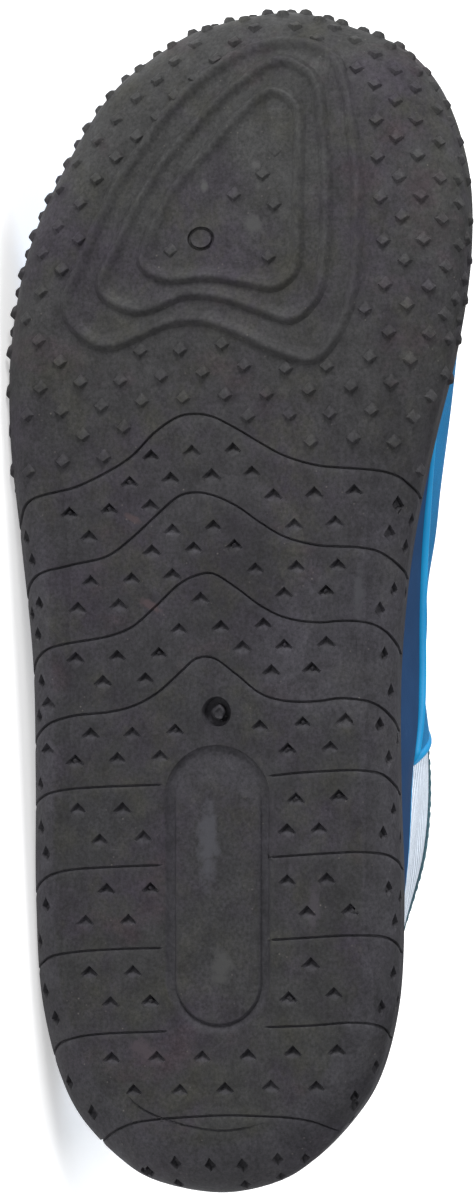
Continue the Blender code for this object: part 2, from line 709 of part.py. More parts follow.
def make_band(name, inner_side):
    """Low overlay that lies on the upper just above the rim."""
    mesh = Mesh()
    rows = []
    for k in side_stations(inner_side, BAND[0][0], BAND[-1][0]):
        reaches = np.linspace(0.0010, band_top(k), BAND_ROWS)
        row = []
        for offset, order in ((GAP + BAND_LIFT, reaches), (GAP + BAND_THICK, reaches[::-1])):
            for reach in order:
                row.append(on_upper(k, reach) + upper_normal(k, max(reach, 0.0016)) * offset)
        rows.append(mesh.add(row))
    for a, b in zip(rows[:-1], rows[1:]):
        mesh.bridge(a, b)
    last = 2 * BAND_ROWS - 1
    for end in (rows[0], rows[-1]):
        for k in range(BAND_ROWS - 1):
            mesh.faces.append((end[k], end[k + 1], end[last - k - 1], end[last - k]))
    return mesh.build(name, (0.025, 0.055, 0.120), 0.6)


def make_piping(name, inner_side):
    """Raised tubular trim along the top of the side band."""
    mesh = Mesh()
    rows = []
    half = 0.5 * PIPING_WIDTH
    foot, shoulder = GAP + BAND_LIFT, 0.6 * PIPING_RISE + GAP
    shape = (
        (-half, foot), (-0.85 * half, shoulder), (0.0, PIPING_RISE + GAP),
        (0.85 * half, shoulder), (half, foot),
    )
    for k in side_stations(inner_side, PIPING_FROM, PIPING_TO):
        centre = band_top(k) + GAP + half
        row = []
        for along, offset in shape:
            reach = centre + along
            row.append(on_upper(k, reach) + upper_normal(k, max(reach, 0.0016)) * offset)
        rows.append(mesh.add(row))
    for a, b in zip(rows[:-1], rows[1:]):
        mesh.bridge(a, b)
    mesh.faces += [tuple(rows[0]), tuple(rows[-1])]
    return mesh.build(name, (0.035, 0.270, 0.500), 0.45)


def lay_on_side(items):
    """Rest on the stable hull face nearest the outer side; toe towards -X, tread towards -Y."""
    hull = bmesh.new()
    weight = 0.0
    centre = Vector((0, 0, 0))
    density = {"outsole": 1100.0}
    for item in items:
        for v in item.data.vertices:
            hull.verts.new(v.co)
        heavy = density.get(item.name, 280.0)
        for tri in item.data.polygons:
            a, b, c = (item.data.vertices[k].co for k in tri.vertices)
            part = a.dot(b.cross(c)) / 6 * heavy
            weight += part
            centre += (a + b + c) / 4 * part
    centre /= weight
    bmesh.ops.convex_hull(hull, input=hull.verts[:], use_existing_faces=False)
    best, chosen = -2.0, None
    hull.faces.ensure_lookup_table()
    for face in hull.faces:
        normal = face.normal.normalized()
        corners = [v.co for v in face.verts]
        if normal.dot(corners[0] - centre) < 0:
            normal = -normal
        foot = centre + normal * normal.dot(corners[0] - centre)
        signs = []
        for a, b in zip(corners, corners[1:] + corners[:1]):
            signs.append((b - a).cross(foot - a).dot(normal))
        steady = all(s > 0 for s in signs) or all(s < 0 for s in signs)
        if steady and -normal.y > best:
            best, chosen = -normal.y, normal.copy()
    hull.free()
    up = -chosen
    toe = Vector((1, 0, 0)) - up * up.x
    toe.normalize()
    left = up.cross(-toe)
    turn = Matrix((-toe, left, up)).to_4x4()
    for item in items:
        item.data.transform(turn)
    corners = np.array([tuple(v.co) for item in items for v in item.data.vertices])
    low, high = corners.min(0), corners.max(0)
    shift = Matrix.Translation((-(low[0] + high[0]) / 2, -(low[1] + high[1]) / 2, -low[2]))
    for item in items:
        item.data.transform(shift)
        item.data.update()
    return shift @ turn


def main():
    for item in list(bpy.data.objects):
        bpy.data.objects.remove(item, do_unlink=True)
    items = [
        make_outsole(),
        make_upper(),
        make_insole(),
        make_binding(),
        make_band("side_band_medial", True),
        make_band("side_band_lateral", False),
        make_piping("piping_medial", True),
        make_piping("piping_lateral", False),
    ]
    lay_on_side(items)


main()
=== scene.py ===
"""Looks of the right-foot water shoe, lying on its outer side.

Lengths are metres. Shoe axes: U from heel to toe, V to the inner side, W up from the tread.
"""

import bmesh
import bpy
import json
import math
import numpy as np
from mathutils import Matrix, Vector
from mathutils.geometry import delaunay_2d_cdt
from mathutils.kdtree import KDTree


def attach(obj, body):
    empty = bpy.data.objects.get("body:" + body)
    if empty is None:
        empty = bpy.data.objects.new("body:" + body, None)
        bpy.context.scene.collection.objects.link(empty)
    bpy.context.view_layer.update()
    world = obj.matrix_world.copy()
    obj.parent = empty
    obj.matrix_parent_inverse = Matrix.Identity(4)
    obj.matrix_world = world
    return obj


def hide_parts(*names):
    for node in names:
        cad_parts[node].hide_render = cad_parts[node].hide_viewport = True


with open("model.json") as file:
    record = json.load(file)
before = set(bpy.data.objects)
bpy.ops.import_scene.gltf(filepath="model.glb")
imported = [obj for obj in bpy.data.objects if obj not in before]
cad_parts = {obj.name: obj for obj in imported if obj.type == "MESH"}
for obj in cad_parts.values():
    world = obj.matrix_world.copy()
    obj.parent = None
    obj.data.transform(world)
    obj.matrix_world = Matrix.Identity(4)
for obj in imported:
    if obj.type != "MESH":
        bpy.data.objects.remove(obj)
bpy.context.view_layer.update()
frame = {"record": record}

# Sizes of the shoe
LENGTH = 0.284
BALL = 0.110
INSTEP_HEIGHT = 0.080
TOE_SPRING = 0.013
ARCH_RISE = 0.0022
WALL_ROUND = 0.011
FLOOR = 0.005
RIM_THICK = 0.0026
RIM_LEAN = 0.0008
GAP = 0.0003
CUP_INSET = 0.0045
FABRIC = 0.0026
INSOLE_THICK = 0.0040
BINDING_WIDTH = 0.0050

# Shares of the length: start and run of the toe spring, middle and half length of the arch's rise
SPRING_START, SPRING_RUN = 0.616, 0.384
ARCH_MIDDLE, ARCH_HALF = 0.465, 0.082
ARCH_SIDE = 0.33         # share of BALL at which the arch is fully up
# Shares of the length where the vamp panel's rear edge leaves the band and meets the collar
VAMP_FOOT, VAMP_HEAD = 0.375, 0.47

# Stations around the outline
HALF = 260
N = 2 * HALF

OUTLINE = (
    (0.010, -0.145, 0.135), (0.025, -0.212, 0.204), (0.060, -0.304, 0.295),
    (0.095, -0.352, 0.354), (0.160, -0.394, 0.402), (0.250, -0.408, 0.415),
    (0.350, -0.408, 0.409), (0.450, -0.413, 0.411), (0.550, -0.440, 0.438),
    (0.640, -0.465, 0.487), (0.720, -0.464, 0.535), (0.800, -0.428, 0.557),
    (0.870, -0.352, 0.541), (0.935, -0.249, 0.473), (0.970, -0.136, 0.387),
    (0.985, -0.066, 0.295),
)
HEEL_TIP = (0.0, 0.010)
TOE_TIP = (1.0, 0.143)
WALL = (
    (0.00, 0.0155, 0.0155, 0.0205), (0.08, 0.0135, 0.0130, 0.0200),
    (0.20, 0.0095, 0.0085, 0.0185), (0.45, 0.0092, 0.0082, 0.0180),
    (0.60, 0.0118, 0.0130, 0.0185), (0.80, 0.0120, 0.0130, 0.0205),
    (1.00, 0.0130, 0.0130, 0.0225),
)
WAVES = (
    (-0.415, 0.578, 0.500, 0.433, 0.378), (-0.400, 0.585, 0.510, 0.443, 0.386),
    (-0.364, 0.590, 0.527, 0.459, 0.400),
    (-0.291, 0.599, 0.534, 0.468, 0.406), (-0.218, 0.612, 0.541, 0.473, 0.409),
    (-0.164, 0.625, 0.556, 0.481, 0.414), (-0.109, 0.646, 0.575, 0.499, 0.425),
    (-0.055, 0.659, 0.592, 0.518, 0.443), (-0.018, 0.661, 0.595, 0.525, 0.455),
    (0.018, 0.659, 0.593, 0.527, 0.456), (0.073, 0.649, 0.584, 0.515, 0.442),
    (0.127, 0.637, 0.570, 0.500, 0.426), (0.182, 0.626, 0.558, 0.490, 0.420),
    (0.255, 0.618, 0.551, 0.486, 0.420), (0.327, 0.617, 0.551, 0.484, 0.422),
    (0.400, 0.614, 0.544, 0.476, 0.413), (0.440, 0.607, 0.530, 0.463, 0.403),
    (0.470, 0.598, 0.520, 0.452, 0.396),
)
RING_CENTRE = (0.832, 0.062)
RINGS = (
    (0, 0.345, 0.280, 0.207), (15, 0.382, 0.339, 0.270), (30, 0.394, 0.331, 0.261),
    (45, 0.346, 0.268, 0.197), (60, 0.301, 0.230, 0.163), (75, 0.282, 0.212, 0.146),
    (90, 0.275, 0.206, 0.143), (105, 0.287, 0.214, 0.148), (120, 0.315, 0.235, 0.167),
    (135, 0.350, 0.266, 0.191), (150, 0.372, 0.272, 0.191), (165, 0.305, 0.222, 0.163),
    (180, 0.259, 0.195, 0.150), (195, 0.247, 0.191, 0.149), (210, 0.281, 0.211, 0.166),
    (225, 0.415, 0.308, 0.209), (240, 0.435, 0.345, 0.236), (255, 0.348, 0.271, 0.197),
    (270, 0.297, 0.229, 0.166), (285, 0.273, 0.206, 0.152), (300, 0.257, 0.199, 0.140),
    (315, 0.261, 0.197, 0.139), (330, 0.278, 0.208, 0.145), (345, 0.305, 0.235, 0.164),
)
PAD = {"heel": 0.137, "toe": 0.381, "centre": 0.029, "half": 0.118}
PAD_PROFILE = (
    (-0.3, 0.0, 0.0, 0.0), (0.0, -0.22, -0.06, -0.30), (0.35, -0.85, -0.16, -1.0),
    (0.7, -1.15, -0.34, -1.15), (1.2, -1.20, -0.60, -1.15), (1.7, -1.20, -0.86, -1.12),
    (2.15, -1.15, -1.15, -1.08), (2.45, -0.66, -0.66, -1.04), (2.75, -0.28, -0.26, -1.0),
    (3.2, -0.18, -0.18, -0.96), (4.4, -0.17, -0.17, -0.86), (5.6, -0.17, -0.17, -0.74),
    (6.8, -0.16, -0.16, -0.60), (8.0, -0.16, -0.16, -0.46), (9.2, -0.15, -0.15, -0.34),
    (10.4, -0.15, -0.15, -0.28), (11.6, -0.15, -0.15, -0.24),
)
GATE_RING = (0.808, -0.013)
GATE_HOLE = (0.4095, 0.028)

COLLAR = (
    (0.508, -0.080, 0.125, 0.985), (0.470, -0.175, 0.225, 0.935), (0.410, -0.240, 0.305, 0.860),
    (0.350, -0.278, 0.348, 0.800), (0.280, -0.292, 0.350, 0.752), (0.200, -0.278, 0.294, 0.735),
    (0.110, -0.235, 0.236, 0.780), (0.055, -0.150, 0.160, 0.855),
)
COLLAR_FRONT = (0.520, 0.028, 1.000)
COLLAR_BACK = (0.036, 0.008, 0.895)
SECTIONS = (
    (0.00, 0.000, 0.017, 0.0010, 0.0010, 0.056), (0.12, 0.030, 0.018, 0.0010, -0.0020, 0.054),
    (0.25, 0.085, 0.020, 0.0018, -0.0022, 0.043), (0.38, 0.160, 0.021, 0.0026, 0.0000, 0.028),
    (0.50, 0.270, 0.021, 0.0030, 0.0018, 0.016), (0.62, 0.420, 0.019, 0.0028, 0.0020, 0.013),
    (0.75, 0.600, 0.017, 0.0018, 0.0012, 0.014), (0.88, 0.800, 0.017, 0.0006, -0.0010, 0.014),
    (1.00, 1.000, 0.019, 0.0000, -0.0010, 0.016),
)
COLLAR_LEAVE = (
    (0.0, 0.93, 0.36), (0.15, 0.86, 0.50), (0.35, 0.50, 0.87), (0.60, 0.24, 0.97), (1.0, 0.10, 0.99),
)
BAND = (
    (0.235, 0.0030), (0.300, 0.0100), (0.380, 0.0185), (0.450, 0.0200), (0.520, 0.0160), (0.590, 0.0090),
    (0.650, 0.0030),
)

# Ends of the four waves and the short cross grooves on the flat sheet, (U, V) in millimetres
WAVE_OUTER = (
    ((153.5, -63.0), (157.2, -56.0), (161.2, -49.5), (164.8, -46.8), (166.8, -44.2), (168.2, -40.1),
     (169.1, -36.0)),
    ((137.5, -61.0), (140.5, -54.0), (143.8, -48.6), (146.7, -45.4), (148.7, -42.6), (150.1, -38.9),
     (150.8, -35.6)),
    ((118.5, -60.0), (122.3, -53.0), (125.6, -47.4), (128.6, -43.6), (130.9, -39.9), (132.1, -36.2)),
    ((102.0, -60.0), (105.4, -53.0), (108.7, -47.0), (111.2, -42.6), (113.1, -39.4), (114.4, -35.7)),
)
WAVE_INNER = (
    ((174.9, 35.0), (174.6, 40.0), (173.9, 44.8), (172.4, 48.5), (169.8, 52.0), (166.2, 58.0),
     (163.6, 64.0)),
    ((156.2, 33.0), (156.0, 38.3), (155.1, 42.7), (153.1, 46.3), (150.4, 50.5), (147.7, 55.6),
     (144.9, 62.0)),
    ((138.4, 33.0), (138.3, 38.3), (137.5, 41.8), (135.6, 45.6), (132.2, 50.8), (129.6, 56.1),
     (127.4, 62.0)),
    ((120.0, 33.0), (119.9, 36.5), (119.3, 40.4), (117.7, 44.3), (115.0, 49.0), (112.6, 53.8),
     (110.4, 60.0)),
)
CROSS_OUTER = (
    ((88.0, -60.0), (91.2, -52.5), (93.6, -46.6), (95.3, -42.2), (96.5, -38.9), (97.4, -34.5),
     (98.0, -28.2), (98.9, -10.2)),
    ((66.5, -60.0), (70.0, -52.5), (72.4, -47.0), (75.0, -42.4), (76.7, -38.9), (78.0, -34.1),
     (79.0, -22.0), (79.6, -10.2)),
    ((48.5, -60.0), (52.0, -51.0), (54.2, -45.4), (55.6, -42.2), (57.1, -38.8), (58.3, -32.6),
     (59.2, -22.0), (59.7, -10.2)),
    ((24.0, -55.0), (28.5, -48.0), (31.6, -43.6), (34.0, -40.5), (35.9, -37.6), (37.6, -32.8),
     (38.6, -27.0), (39.7, -9.0)),
)
CROSS_INNER = (
    ((101.2, 15.7), (102.0, 22.0), (102.6, 30.0), (102.9, 38.0), (101.9, 44.3), (99.3, 49.6), (97.1, 55.0),
     (94.8, 62.0)),
    ((81.8, 15.7), (82.5, 24.0), (83.1, 32.0), (83.4, 38.6), (82.7, 45.4), (81.1, 50.5), (79.3, 55.4),
     (77.0, 62.0)),
    ((62.0, 15.7), (62.8, 26.0), (63.5, 36.7), (63.1, 44.2), (61.3, 49.5), (59.2, 53.8), (56.5, 61.0)),
    ((41.1, 14.5), (41.8, 26.6), (42.6, 36.6), (41.8, 42.0), (39.8, 46.3), (37.2, 49.8), (33.5, 56.0)),
)
HEEL_GROOVE = (
    (6.5, -36.0), (10.8, -29.0), (14.8, -23.6), (17.2, -18.6), (18.3, -13.0), (19.2, -4.0),
    (19.8, 5.0), (19.8, 13.7), (19.5, 20.9), (18.2, 26.6), (15.2, 31.5), (11.0, 36.5),
)
HEEL_SCAR = (
    (25.3, -20.6), (22.2, -17.6), (19.9, -13.7), (17.8, -7.5), (16.5, -1.3), (16.1, 4.9), (17.1, 11.2),
    (18.3, 15.6),
)
WALL_PITS = (
    (165.9, 47.9), (158.9, 45.9), (161.2, 53.1), (155.1, 51.4), (145.3, 47.7), (143.6, 55.6), (140.8, 43.4),
    (130.1, 44.9), (134.6, 57.0), (121.1, 47.8), (124.6, 55.2), (113.4, 43.7), (105.3, 46.9), (109.1, 52.6),
    (92.9, 49.0), (87.5, 44.6), (86.2, 54.0), (74.3, 46.3), (71.6, 52.4), (66.1, 49.0), (53.5, 48.6),
    (45.6, 44.2), (46.0, 53.4), (30.2, 43.5), (23.3, 37.2), (7.3, 24.4), (3.3, -17.5), (0.4, -8.7),
    (0.6, 8.8), (2.0, 18.0), (149.6, -52.0), (133.0, -52.4), (116.2, -51.2), (100.0, -52.0), (84.6, -51.4),
    (66.0, -51.8), (44.0, -50.0), (22.0, -44.0), (8.0, -30.5), (14.0, 38.5),
)

# Raised studs of the toe and sunk wedges of the arch and heel, charted as (U, V) in millimetres
STUDS = (
    (280.3, 18.8), (280.1, 8.8), (279.9, 27.8), (277.4, 24.6), (276.9, 33.4), (276.7, 4.4),
    (276.3, -5.9), (273.5, 38.9), (272.4, 0.2), (272.2, -10.3), (270.2, 35.1), (269.6, 44.1),
    (268.1, -4.7), (267.7, -14.2), (266.3, 39.9), (265.3, 48.9), (263.8, -9.2), (263.4, -19.1),
    (262.2, 45.2), (260.2, 53.9), (258.9, -13.5), (258.5, -23.8), (257.7, 40.9), (257.6, 50.1),
    (254.2, -18.3), (253.6, 46.0), (253.3, -28.6), (252.3, 55.3), (249.2, 51.1), (249.2, -23.2),
    (248.9, 41.6), (248.1, -34.0), (244.9, 13.4), (244.1, 47.0), (244.1, -27.9), (243.6, 56.3),
    (241.7, -38.1), (240.0, 6.4), (239.6, 52.4), (239.1, 42.6), (238.1, -31.9), (237.7, 60.1),
    (237.7, 16.5), (250.5, 16.2), (234.6, 48.1), (233.9, 57.1), (232.7, -37.4), (229.6, -31.8),
    (229.1, 53.3), (228.9, 43.7), (227.7, 60.4), (226.7, -8.9), (226.2, -41.3), (225.1, 15.5),
    (224.1, 49.1), (222.6, 58.2), (222.3, -35.9), (218.5, 44.4), (217.9, 54.6), (216.9, -41.1),
    (213.6, 49.8), (212.6, 39.6), (211.3, 57.8), (210.4, -45.2), (207.2, 45.5), (206.7, 54.7),
    (205.2, -41.4), (204.3, 4.4), (203.0, -6.0), (202.7, -15.9), (201.2, 40.9), (200.6, 50.6),
    (200.1, -35.9), (199.2, 10.0), (199.0, 30.4), (198.5, 20.3), (197.6, -0.3), (197.2, 57.1),
    (196.7, -10.6), (195.6, -20.8), (195.2, 46.2), (195.2, -30.7), (194.2, 36.4), (193.8, -40.7),
    (193.4, 26.0), (192.5, 15.6), (192.2, 5.3), (191.8, 54.5), (191.4, -5.1), (190.7, -15.4),
    (189.5, -25.4), (188.5, 41.5), (188.3, -35.4), (187.8, 31.2), (187.6, 21.4), (187.3, -44.3),
    (187.1, 11.0), (186.9, 50.9), (184.4, -19.8), (182.5, -30.1), (182.0, 37.1), (181.1, 26.6),
    (180.9, 46.7), (177.3, -24.8), (176.2, -35.0), (174.1, 51.4), (173.8, -43.9),
)
WORN_STUDS = {
    (250.5, 16.2): 0.25, (240.0, 6.4): 0.7, (237.7, 16.5): 0.8,
    (226.7, -8.9): 0.55, (269.6, 44.1): 0.8,
}
PITS = (
    (178.8, 7.3), (178.1, -2.9), (177.1, -13.1), (173.3, 12.0), (172.4, 2.0), (171.7, -8.2),
    (170.6, -18.4), (168.9, 37.2), (168.2, 27.4), (167.7, 17.3), (165.7, 47.1), (165.1, -13.3),
    (164.2, -23.5), (163.3, -33.5), (161.3, 32.5), (160.7, 22.4), (160.4, 2.4), (159.3, -7.8),
    (157.6, -28.6), (157.4, -45.3), (155.8, 7.6), (155.1, -2.5), (154.2, -12.9), (152.1, -43.5),
    (151.2, 33.1), (150.7, 22.9), (150.2, 12.8), (148.5, -7.8), (147.6, -18.0), (146.9, -28.2),
    (145.0, 30.1), (144.3, 19.8), (142.9, -0.8), (141.8, -41.5), (141.2, -21.2), (140.3, -31.4),
    (139.2, -44.0), (137.0, 14.7), (136.3, 4.2), (135.6, -6.2), (134.3, -42.1), (132.5, 29.9),
    (131.9, 19.7), (131.4, 9.5), (129.8, -11.2), (129.0, -21.6), (128.3, -32.0), (126.4, 26.4),
    (125.7, 16.6), (123.7, -14.6), (123.0, -41.2), (122.8, -25.2), (117.4, -39.3), (114.6, -42.1),
    (114.2, 34.9), (113.5, 24.4), (112.7, 13.8), (111.3, -7.2), (110.5, -17.9), (110.2, -28.3),
    (107.8, 31.2), (107.1, 20.7), (106.4, -39.6), (105.1, -11.0), (104.4, -21.6), (103.6, -32.2),
    (98.2, -41.8), (96.0, 33.3), (95.2, 22.7), (92.3, -20.4), (92.2, -31.6), (88.3, 28.4),
    (87.8, 20.5), (87.7, -41.6), (85.6, -15.2), (84.8, -26.1), (81.6, -40.0), (76.2, 30.3),
    (75.7, 20.5), (73.3, -13.5), (72.9, -24.4), (69.1, -40.1), (68.9, 36.1), (68.3, 25.4),
    (65.6, -19.0), (65.1, -29.7), (60.3, -42.3), (56.5, 37.1), (55.8, 26.3), (53.3, -17.9),
    (52.9, -28.8), (48.9, 32.0), (48.3, -40.8), (47.6, 20.8), (46.2, -13.6), (45.6, -23.5),
    (41.9, -37.9), (35.2, 32.7), (34.7, 21.8), (33.8, 10.7), (33.1, -0.7), (32.7, -12.0),
    (32.3, -23.3), (26.5, 27.5), (26.4, -35.0), (26.4, 16.3), (25.6, 5.0), (25.0, -6.2),
    (24.7, -17.8), (22.2, 35.2), (19.3, -28.8), (9.0, 17.1), (7.7, -7.9), (7.4, 8.7),
    (7.4, 0.9), (5.1, -15.4),
)


def column(table, index):
    return np.array([row[index] for row in table])


def blend(x, table, index):
    """Smooth value of a table column at x, by a monotone cubic."""
    xs, ys = column(table, 0), column(table, index)
    slopes = np.diff(ys) / np.diff(xs)
    ends = np.concatenate(([slopes[0]], slopes, [slopes[-1]]))
    product = ends[:-1] * ends[1:]
    total = ends[:-1] + ends[1:]
    tangent = np.where(product > 0, 2 * product / np.where(total == 0, 1, total), 0.0)
    x = np.clip(x, xs[0], xs[-1])
    k = np.clip(np.searchsorted(xs, x) - 1, 0, len(xs) - 2)
    step = xs[k + 1] - xs[k]
    t = (x - xs[k]) / step
    low = (1 + 2 * t) * (1 - t) ** 2 * ys[k] + t * (1 - t) ** 2 * step * tangent[k]
    high = t * t * (3 - 2 * t) * ys[k + 1] + t * t * (t - 1) * step * tangent[k + 1]
    return low + high


def spline(points, closed, per=16):
    """Centripetal curve through the points."""
    p = np.asarray(points, float)
    if closed:
        p = np.vstack((p[-1], p, p[0], p[1]))
    else:
        p = np.vstack((2 * p[0] - p[1], p, 2 * p[-1] - p[-2]))
    out = []
    for a, b, c, d in zip(p[:-3], p[1:-2], p[2:-1], p[3:]):
        k = np.cumsum([0.0] + [max(np.linalg.norm(q), 1e-9) ** 0.5 for q in (b - a, c - b, d - c)])
        for t in np.linspace(k[1], k[2], per, endpoint=False):
            ab = a + (b - a) * (t - k[0]) / (k[1] - k[0])
            bc = b + (c - b) * (t - k[1]) / (k[2] - k[1])
            cd = c + (d - c) * (t - k[2]) / (k[3] - k[2])
            abc = ab + (bc - ab) * (t - k[0]) / (k[2] - k[0])
            bcd = bc + (cd - bc) * (t - k[1]) / (k[3] - k[1])
            out.append(abc + (bcd - abc) * (t - k[1]) / (k[2] - k[1]))
    if not closed:
        out.append(p[-2])
    return np.array(out)


def smooth_step(x):
    x = np.clip(x, 0, 1)
    return x * x * (3 - 2 * x)


def in_cells(table, a, b, j, s, t):
    """Table values between rows a and b by shares s, and between columns j and j + 1 by shares t."""
    low = table[a, j] * (1 - t) + table[a, j + 1] * t
    high = table[b, j] * (1 - t) + table[b, j + 1] * t
    return low * (1 - s) + high * s


def line_reach(points):
    """Distance along an open line at each of its points."""
    return np.concatenate(([0.0], np.cumsum(np.linalg.norm(np.diff(points, axis=0), axis=1))))


def places_at(points, reach, at):
    """Places on a line at the given distances along it."""
    return np.stack([np.interp(at, reach, points[:, k]) for k in range(points.shape[1])], -1)


def evenly(points, count):
    """The same open line with count even steps."""
    points = np.asarray(points, float)
    reach = line_reach(points)
    return places_at(points, reach, np.linspace(0, reach[-1], count + 1))


def outline_loop():
    outer = [(u, a) for u, a, _ in OUTLINE][::-1]
    inner = [(u, b) for u, _, b in OUTLINE]
    loop = spline(np.array([TOE_TIP] + outer + [HEEL_TIP] + inner) * (LENGTH, BALL), True, 40)
    turn = 40 * (len(OUTLINE) + 1)
    first = evenly(loop[:turn + 1], HALF)
    second = evenly(np.vstack((loop[turn:], loop[:1])), HALF)
    return np.vstack((first[:-1], second[:-1]))


def outward(loop):
    """Unit normals of a plan loop."""
    along = np.roll(loop, -1, 0)[:, :2] - np.roll(loop, 1, 0)[:, :2]
    normal = np.stack((-along[:, 1], along[:, 0]), -1)
    normal /= np.linalg.norm(normal, axis=1)[:, None]
    middle = loop[:, :2].mean(0)
    return normal * np.sign(np.sum((loop[:, :2] - middle) * normal, axis=1).sum())


def spring(u):
    """Rise of the sole towards the toe."""
    s = np.clip((np.asarray(u) / LENGTH - SPRING_START) / SPRING_RUN, 0, None)
    return TOE_SPRING * s ** 2


def arch(u, v):
    """Rise of the tread under the arch."""
    s = np.clip(1 - np.abs(np.asarray(u) / LENGTH - ARCH_MIDDLE) / ARCH_HALF, 0, 1)
    side = np.clip(np.asarray(v) / (ARCH_SIDE * BALL), 0, 1)
    return ARCH_RISE * smooth_step(s) * side * side


OUT = outline_loop()
OUT_NORMAL = outward(OUT)
STATION = np.arange(N)
LATERAL = STATION <= HALF
SHARE = OUT[:, 0] / LENGTH
FLARE = np.where(LATERAL, blend(SHARE, WALL, 1), blend(SHARE, WALL, 2))
RIM = blend(SHARE, WALL, 3)
BASE = spring(OUT[:, 0])


def inside(loop, points):
    """Which plan points lie inside a closed loop."""
    points = np.atleast_2d(points)
    a, b = np.asarray(loop), np.roll(loop, -1, 0)
    x, y = points[:, 0][:, None], points[:, 1][:, None]
    crosses = (a[:, 1] > y) != (b[:, 1] > y)
    rise = np.where(b[:, 1] == a[:, 1], 1.0, b[:, 1] - a[:, 1])
    at = (b[:, 0] - a[:, 0]) * (y - a[:, 1]) / rise + a[:, 0]
    return (crosses & (x < at)).sum(1) % 2 == 1


# The underside and side wall laid out as one flat sheet: plan places on the tread, arc lengths past its edge
FLARES = np.linspace(0.0080, 0.0160, 17)
ANGLES = np.linspace(0, math.pi / 2, 181)
WALL_SPAN = RIM - 0.0009 - WALL_ROUND


def arc_table():
    rows = []
    for flare in FLARES:
        speed = np.hypot(flare * np.cos(ANGLES), WALL_ROUND * np.sin(ANGLES))
        rows.append(np.concatenate(([0.0], np.cumsum(0.5 * (speed[1:] + speed[:-1]) * np.diff(ANGLES)))))
    return np.array(rows)


ARCS = arc_table()
TURNS = np.array([np.interp(np.linspace(0, 1, 181) * row[-1], row, ANGLES) for row in ARCS])


def table_value(table, flare, share):
    """Value of an arc table at a flare and a share of its columns."""
    x = np.clip((flare - FLARES[0]) / (FLARES[1] - FLARES[0]), 0, len(FLARES) - 1.001)
    y = np.clip(share, 0, 1) * (table.shape[1] - 1.001)
    i, j = x.astype(int), y.astype(int)
    return in_cells(table, i, i + 1, j, x - i, y - j)


def foot_of(points):
    """Signed distance past the outline, nearest place on it, outward direction, flare and wall height."""
    points = np.atleast_2d(points)
    a, b = OUT, np.roll(OUT, -1, 0)
    edge = b - a
    size = np.sum(edge * edge, 1)
    far = np.empty(len(points))
    place = np.empty(len(points))
    for block in np.array_split(np.arange(len(points)), max(1, len(points) // 2000)):
        p = points[block]
        t = np.clip(np.einsum("pij,ij->pi", p[:, None] - a, edge) / size, 0, 1)
        gap = np.linalg.norm(p[:, None] - (a + t[..., None] * edge), axis=2)
        k = gap.argmin(1)
        row = np.arange(len(block))
        far[block] = gap[row, k] * np.where(inside(OUT, p), -1, 1)
        place[block] = k + t[row, k]
    k = np.floor(place).astype(int)
    s = place - k
    k, n = k % N, (k + 1) % N

    def between(table):
        weight = s.reshape((-1,) + (1,) * (table.ndim - 1))
        return table[k] * (1 - weight) + table[n] * weight

    normal = between(OUT_NORMAL)
    normal /= np.linalg.norm(normal, axis=1)[:, None]
    return far, between(OUT), normal, between(FLARE), between(WALL_SPAN)


def skin(points):
    """Places of the flat sheet on the shoe: the flat tread, its rounded edge and the wall."""
    far, foot, normal, flare, wall = foot_of(points)
    total = table_value(ARCS, flare, np.ones(len(flare)))
    past = far + flare
    angle = np.where(past > 0, table_value(TURNS, flare, past / total), 0.0)
    up = np.clip(past - total, 0, None)
    inset = flare * (1 - np.sin(angle)) + 0.0007 * up / wall
    plan = np.where((past > 0)[:, None], foot - normal * inset[:, None], np.atleast_2d(points))
    height = WALL_ROUND * (1 - np.cos(angle)) + up
    z = spring(plan[:, 0]) + arch(plan[:, 0], plan[:, 1]) * (1 - np.sin(angle)) + height
    return np.column_stack((plan, z))


def skin_normal(points):
    """Outward normals of the sheet's places."""
    step = 0.00025
    sides = [skin(points + np.array(s)) for s in ((step, 0), (-step, 0), (0, step), (0, -step))]
    normal = -np.cross(sides[0] - sides[1], sides[2] - sides[3])
    return normal / np.linalg.norm(normal, axis=1)[:, None]


def laid_out(plan):
    """Places of the flat sheet for places seen in plan."""
    plan = np.atleast_2d(plan)
    far, foot, normal, flare, _ = foot_of(plan)
    reach = np.clip(1 + far / flare, 0, 1)
    past = table_value(ARCS, flare, np.arcsin(reach) / (math.pi / 2)) - flare
    return np.where((reach > 0)[:, None], foot + normal * past[:, None], plan)


SHEET_EDGE = OUT + OUT_NORMAL * (table_value(ARCS, FLARE, np.ones(N)) - FLARE + WALL_SPAN)[:, None]


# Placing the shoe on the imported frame, from its two tread mounts
HEEL_POINT = Vector((0.0735, 0.0032, 0.0))
FOREFOOT_POINT = Vector((0.1693, -0.01112, 0.0))


def shoe_to_row():
    mounts = {m["name"]: m for m in frame["record"]["mounts"]}
    heel = Vector(mounts["heel_tread"]["pos_m"])
    fore = Vector(mounts["forefoot_tread"]["pos_m"])
    up = -Vector(mounts["heel_tread"]["axis"]).normalized()

    def basis(a, b, w):
        u = b - a
        u = (u - w * u.dot(w)).normalized()
        return Matrix((u, w.cross(u), w)).transposed()

    turn = basis(heel, fore, up) @ basis(HEEL_POINT, FOREFOOT_POINT, Vector((0, 0, 1))).transposed()
    return Matrix.Translation(heel - turn @ HEEL_POINT) @ turn.to_4x4()


TO_ROW = shoe_to_row()
TURN = np.array(TO_ROW.to_3x3())
SHIFT = np.array(TO_ROW.translation)


def row_points(points):
    return np.asarray(points) @ TURN.T + SHIFT


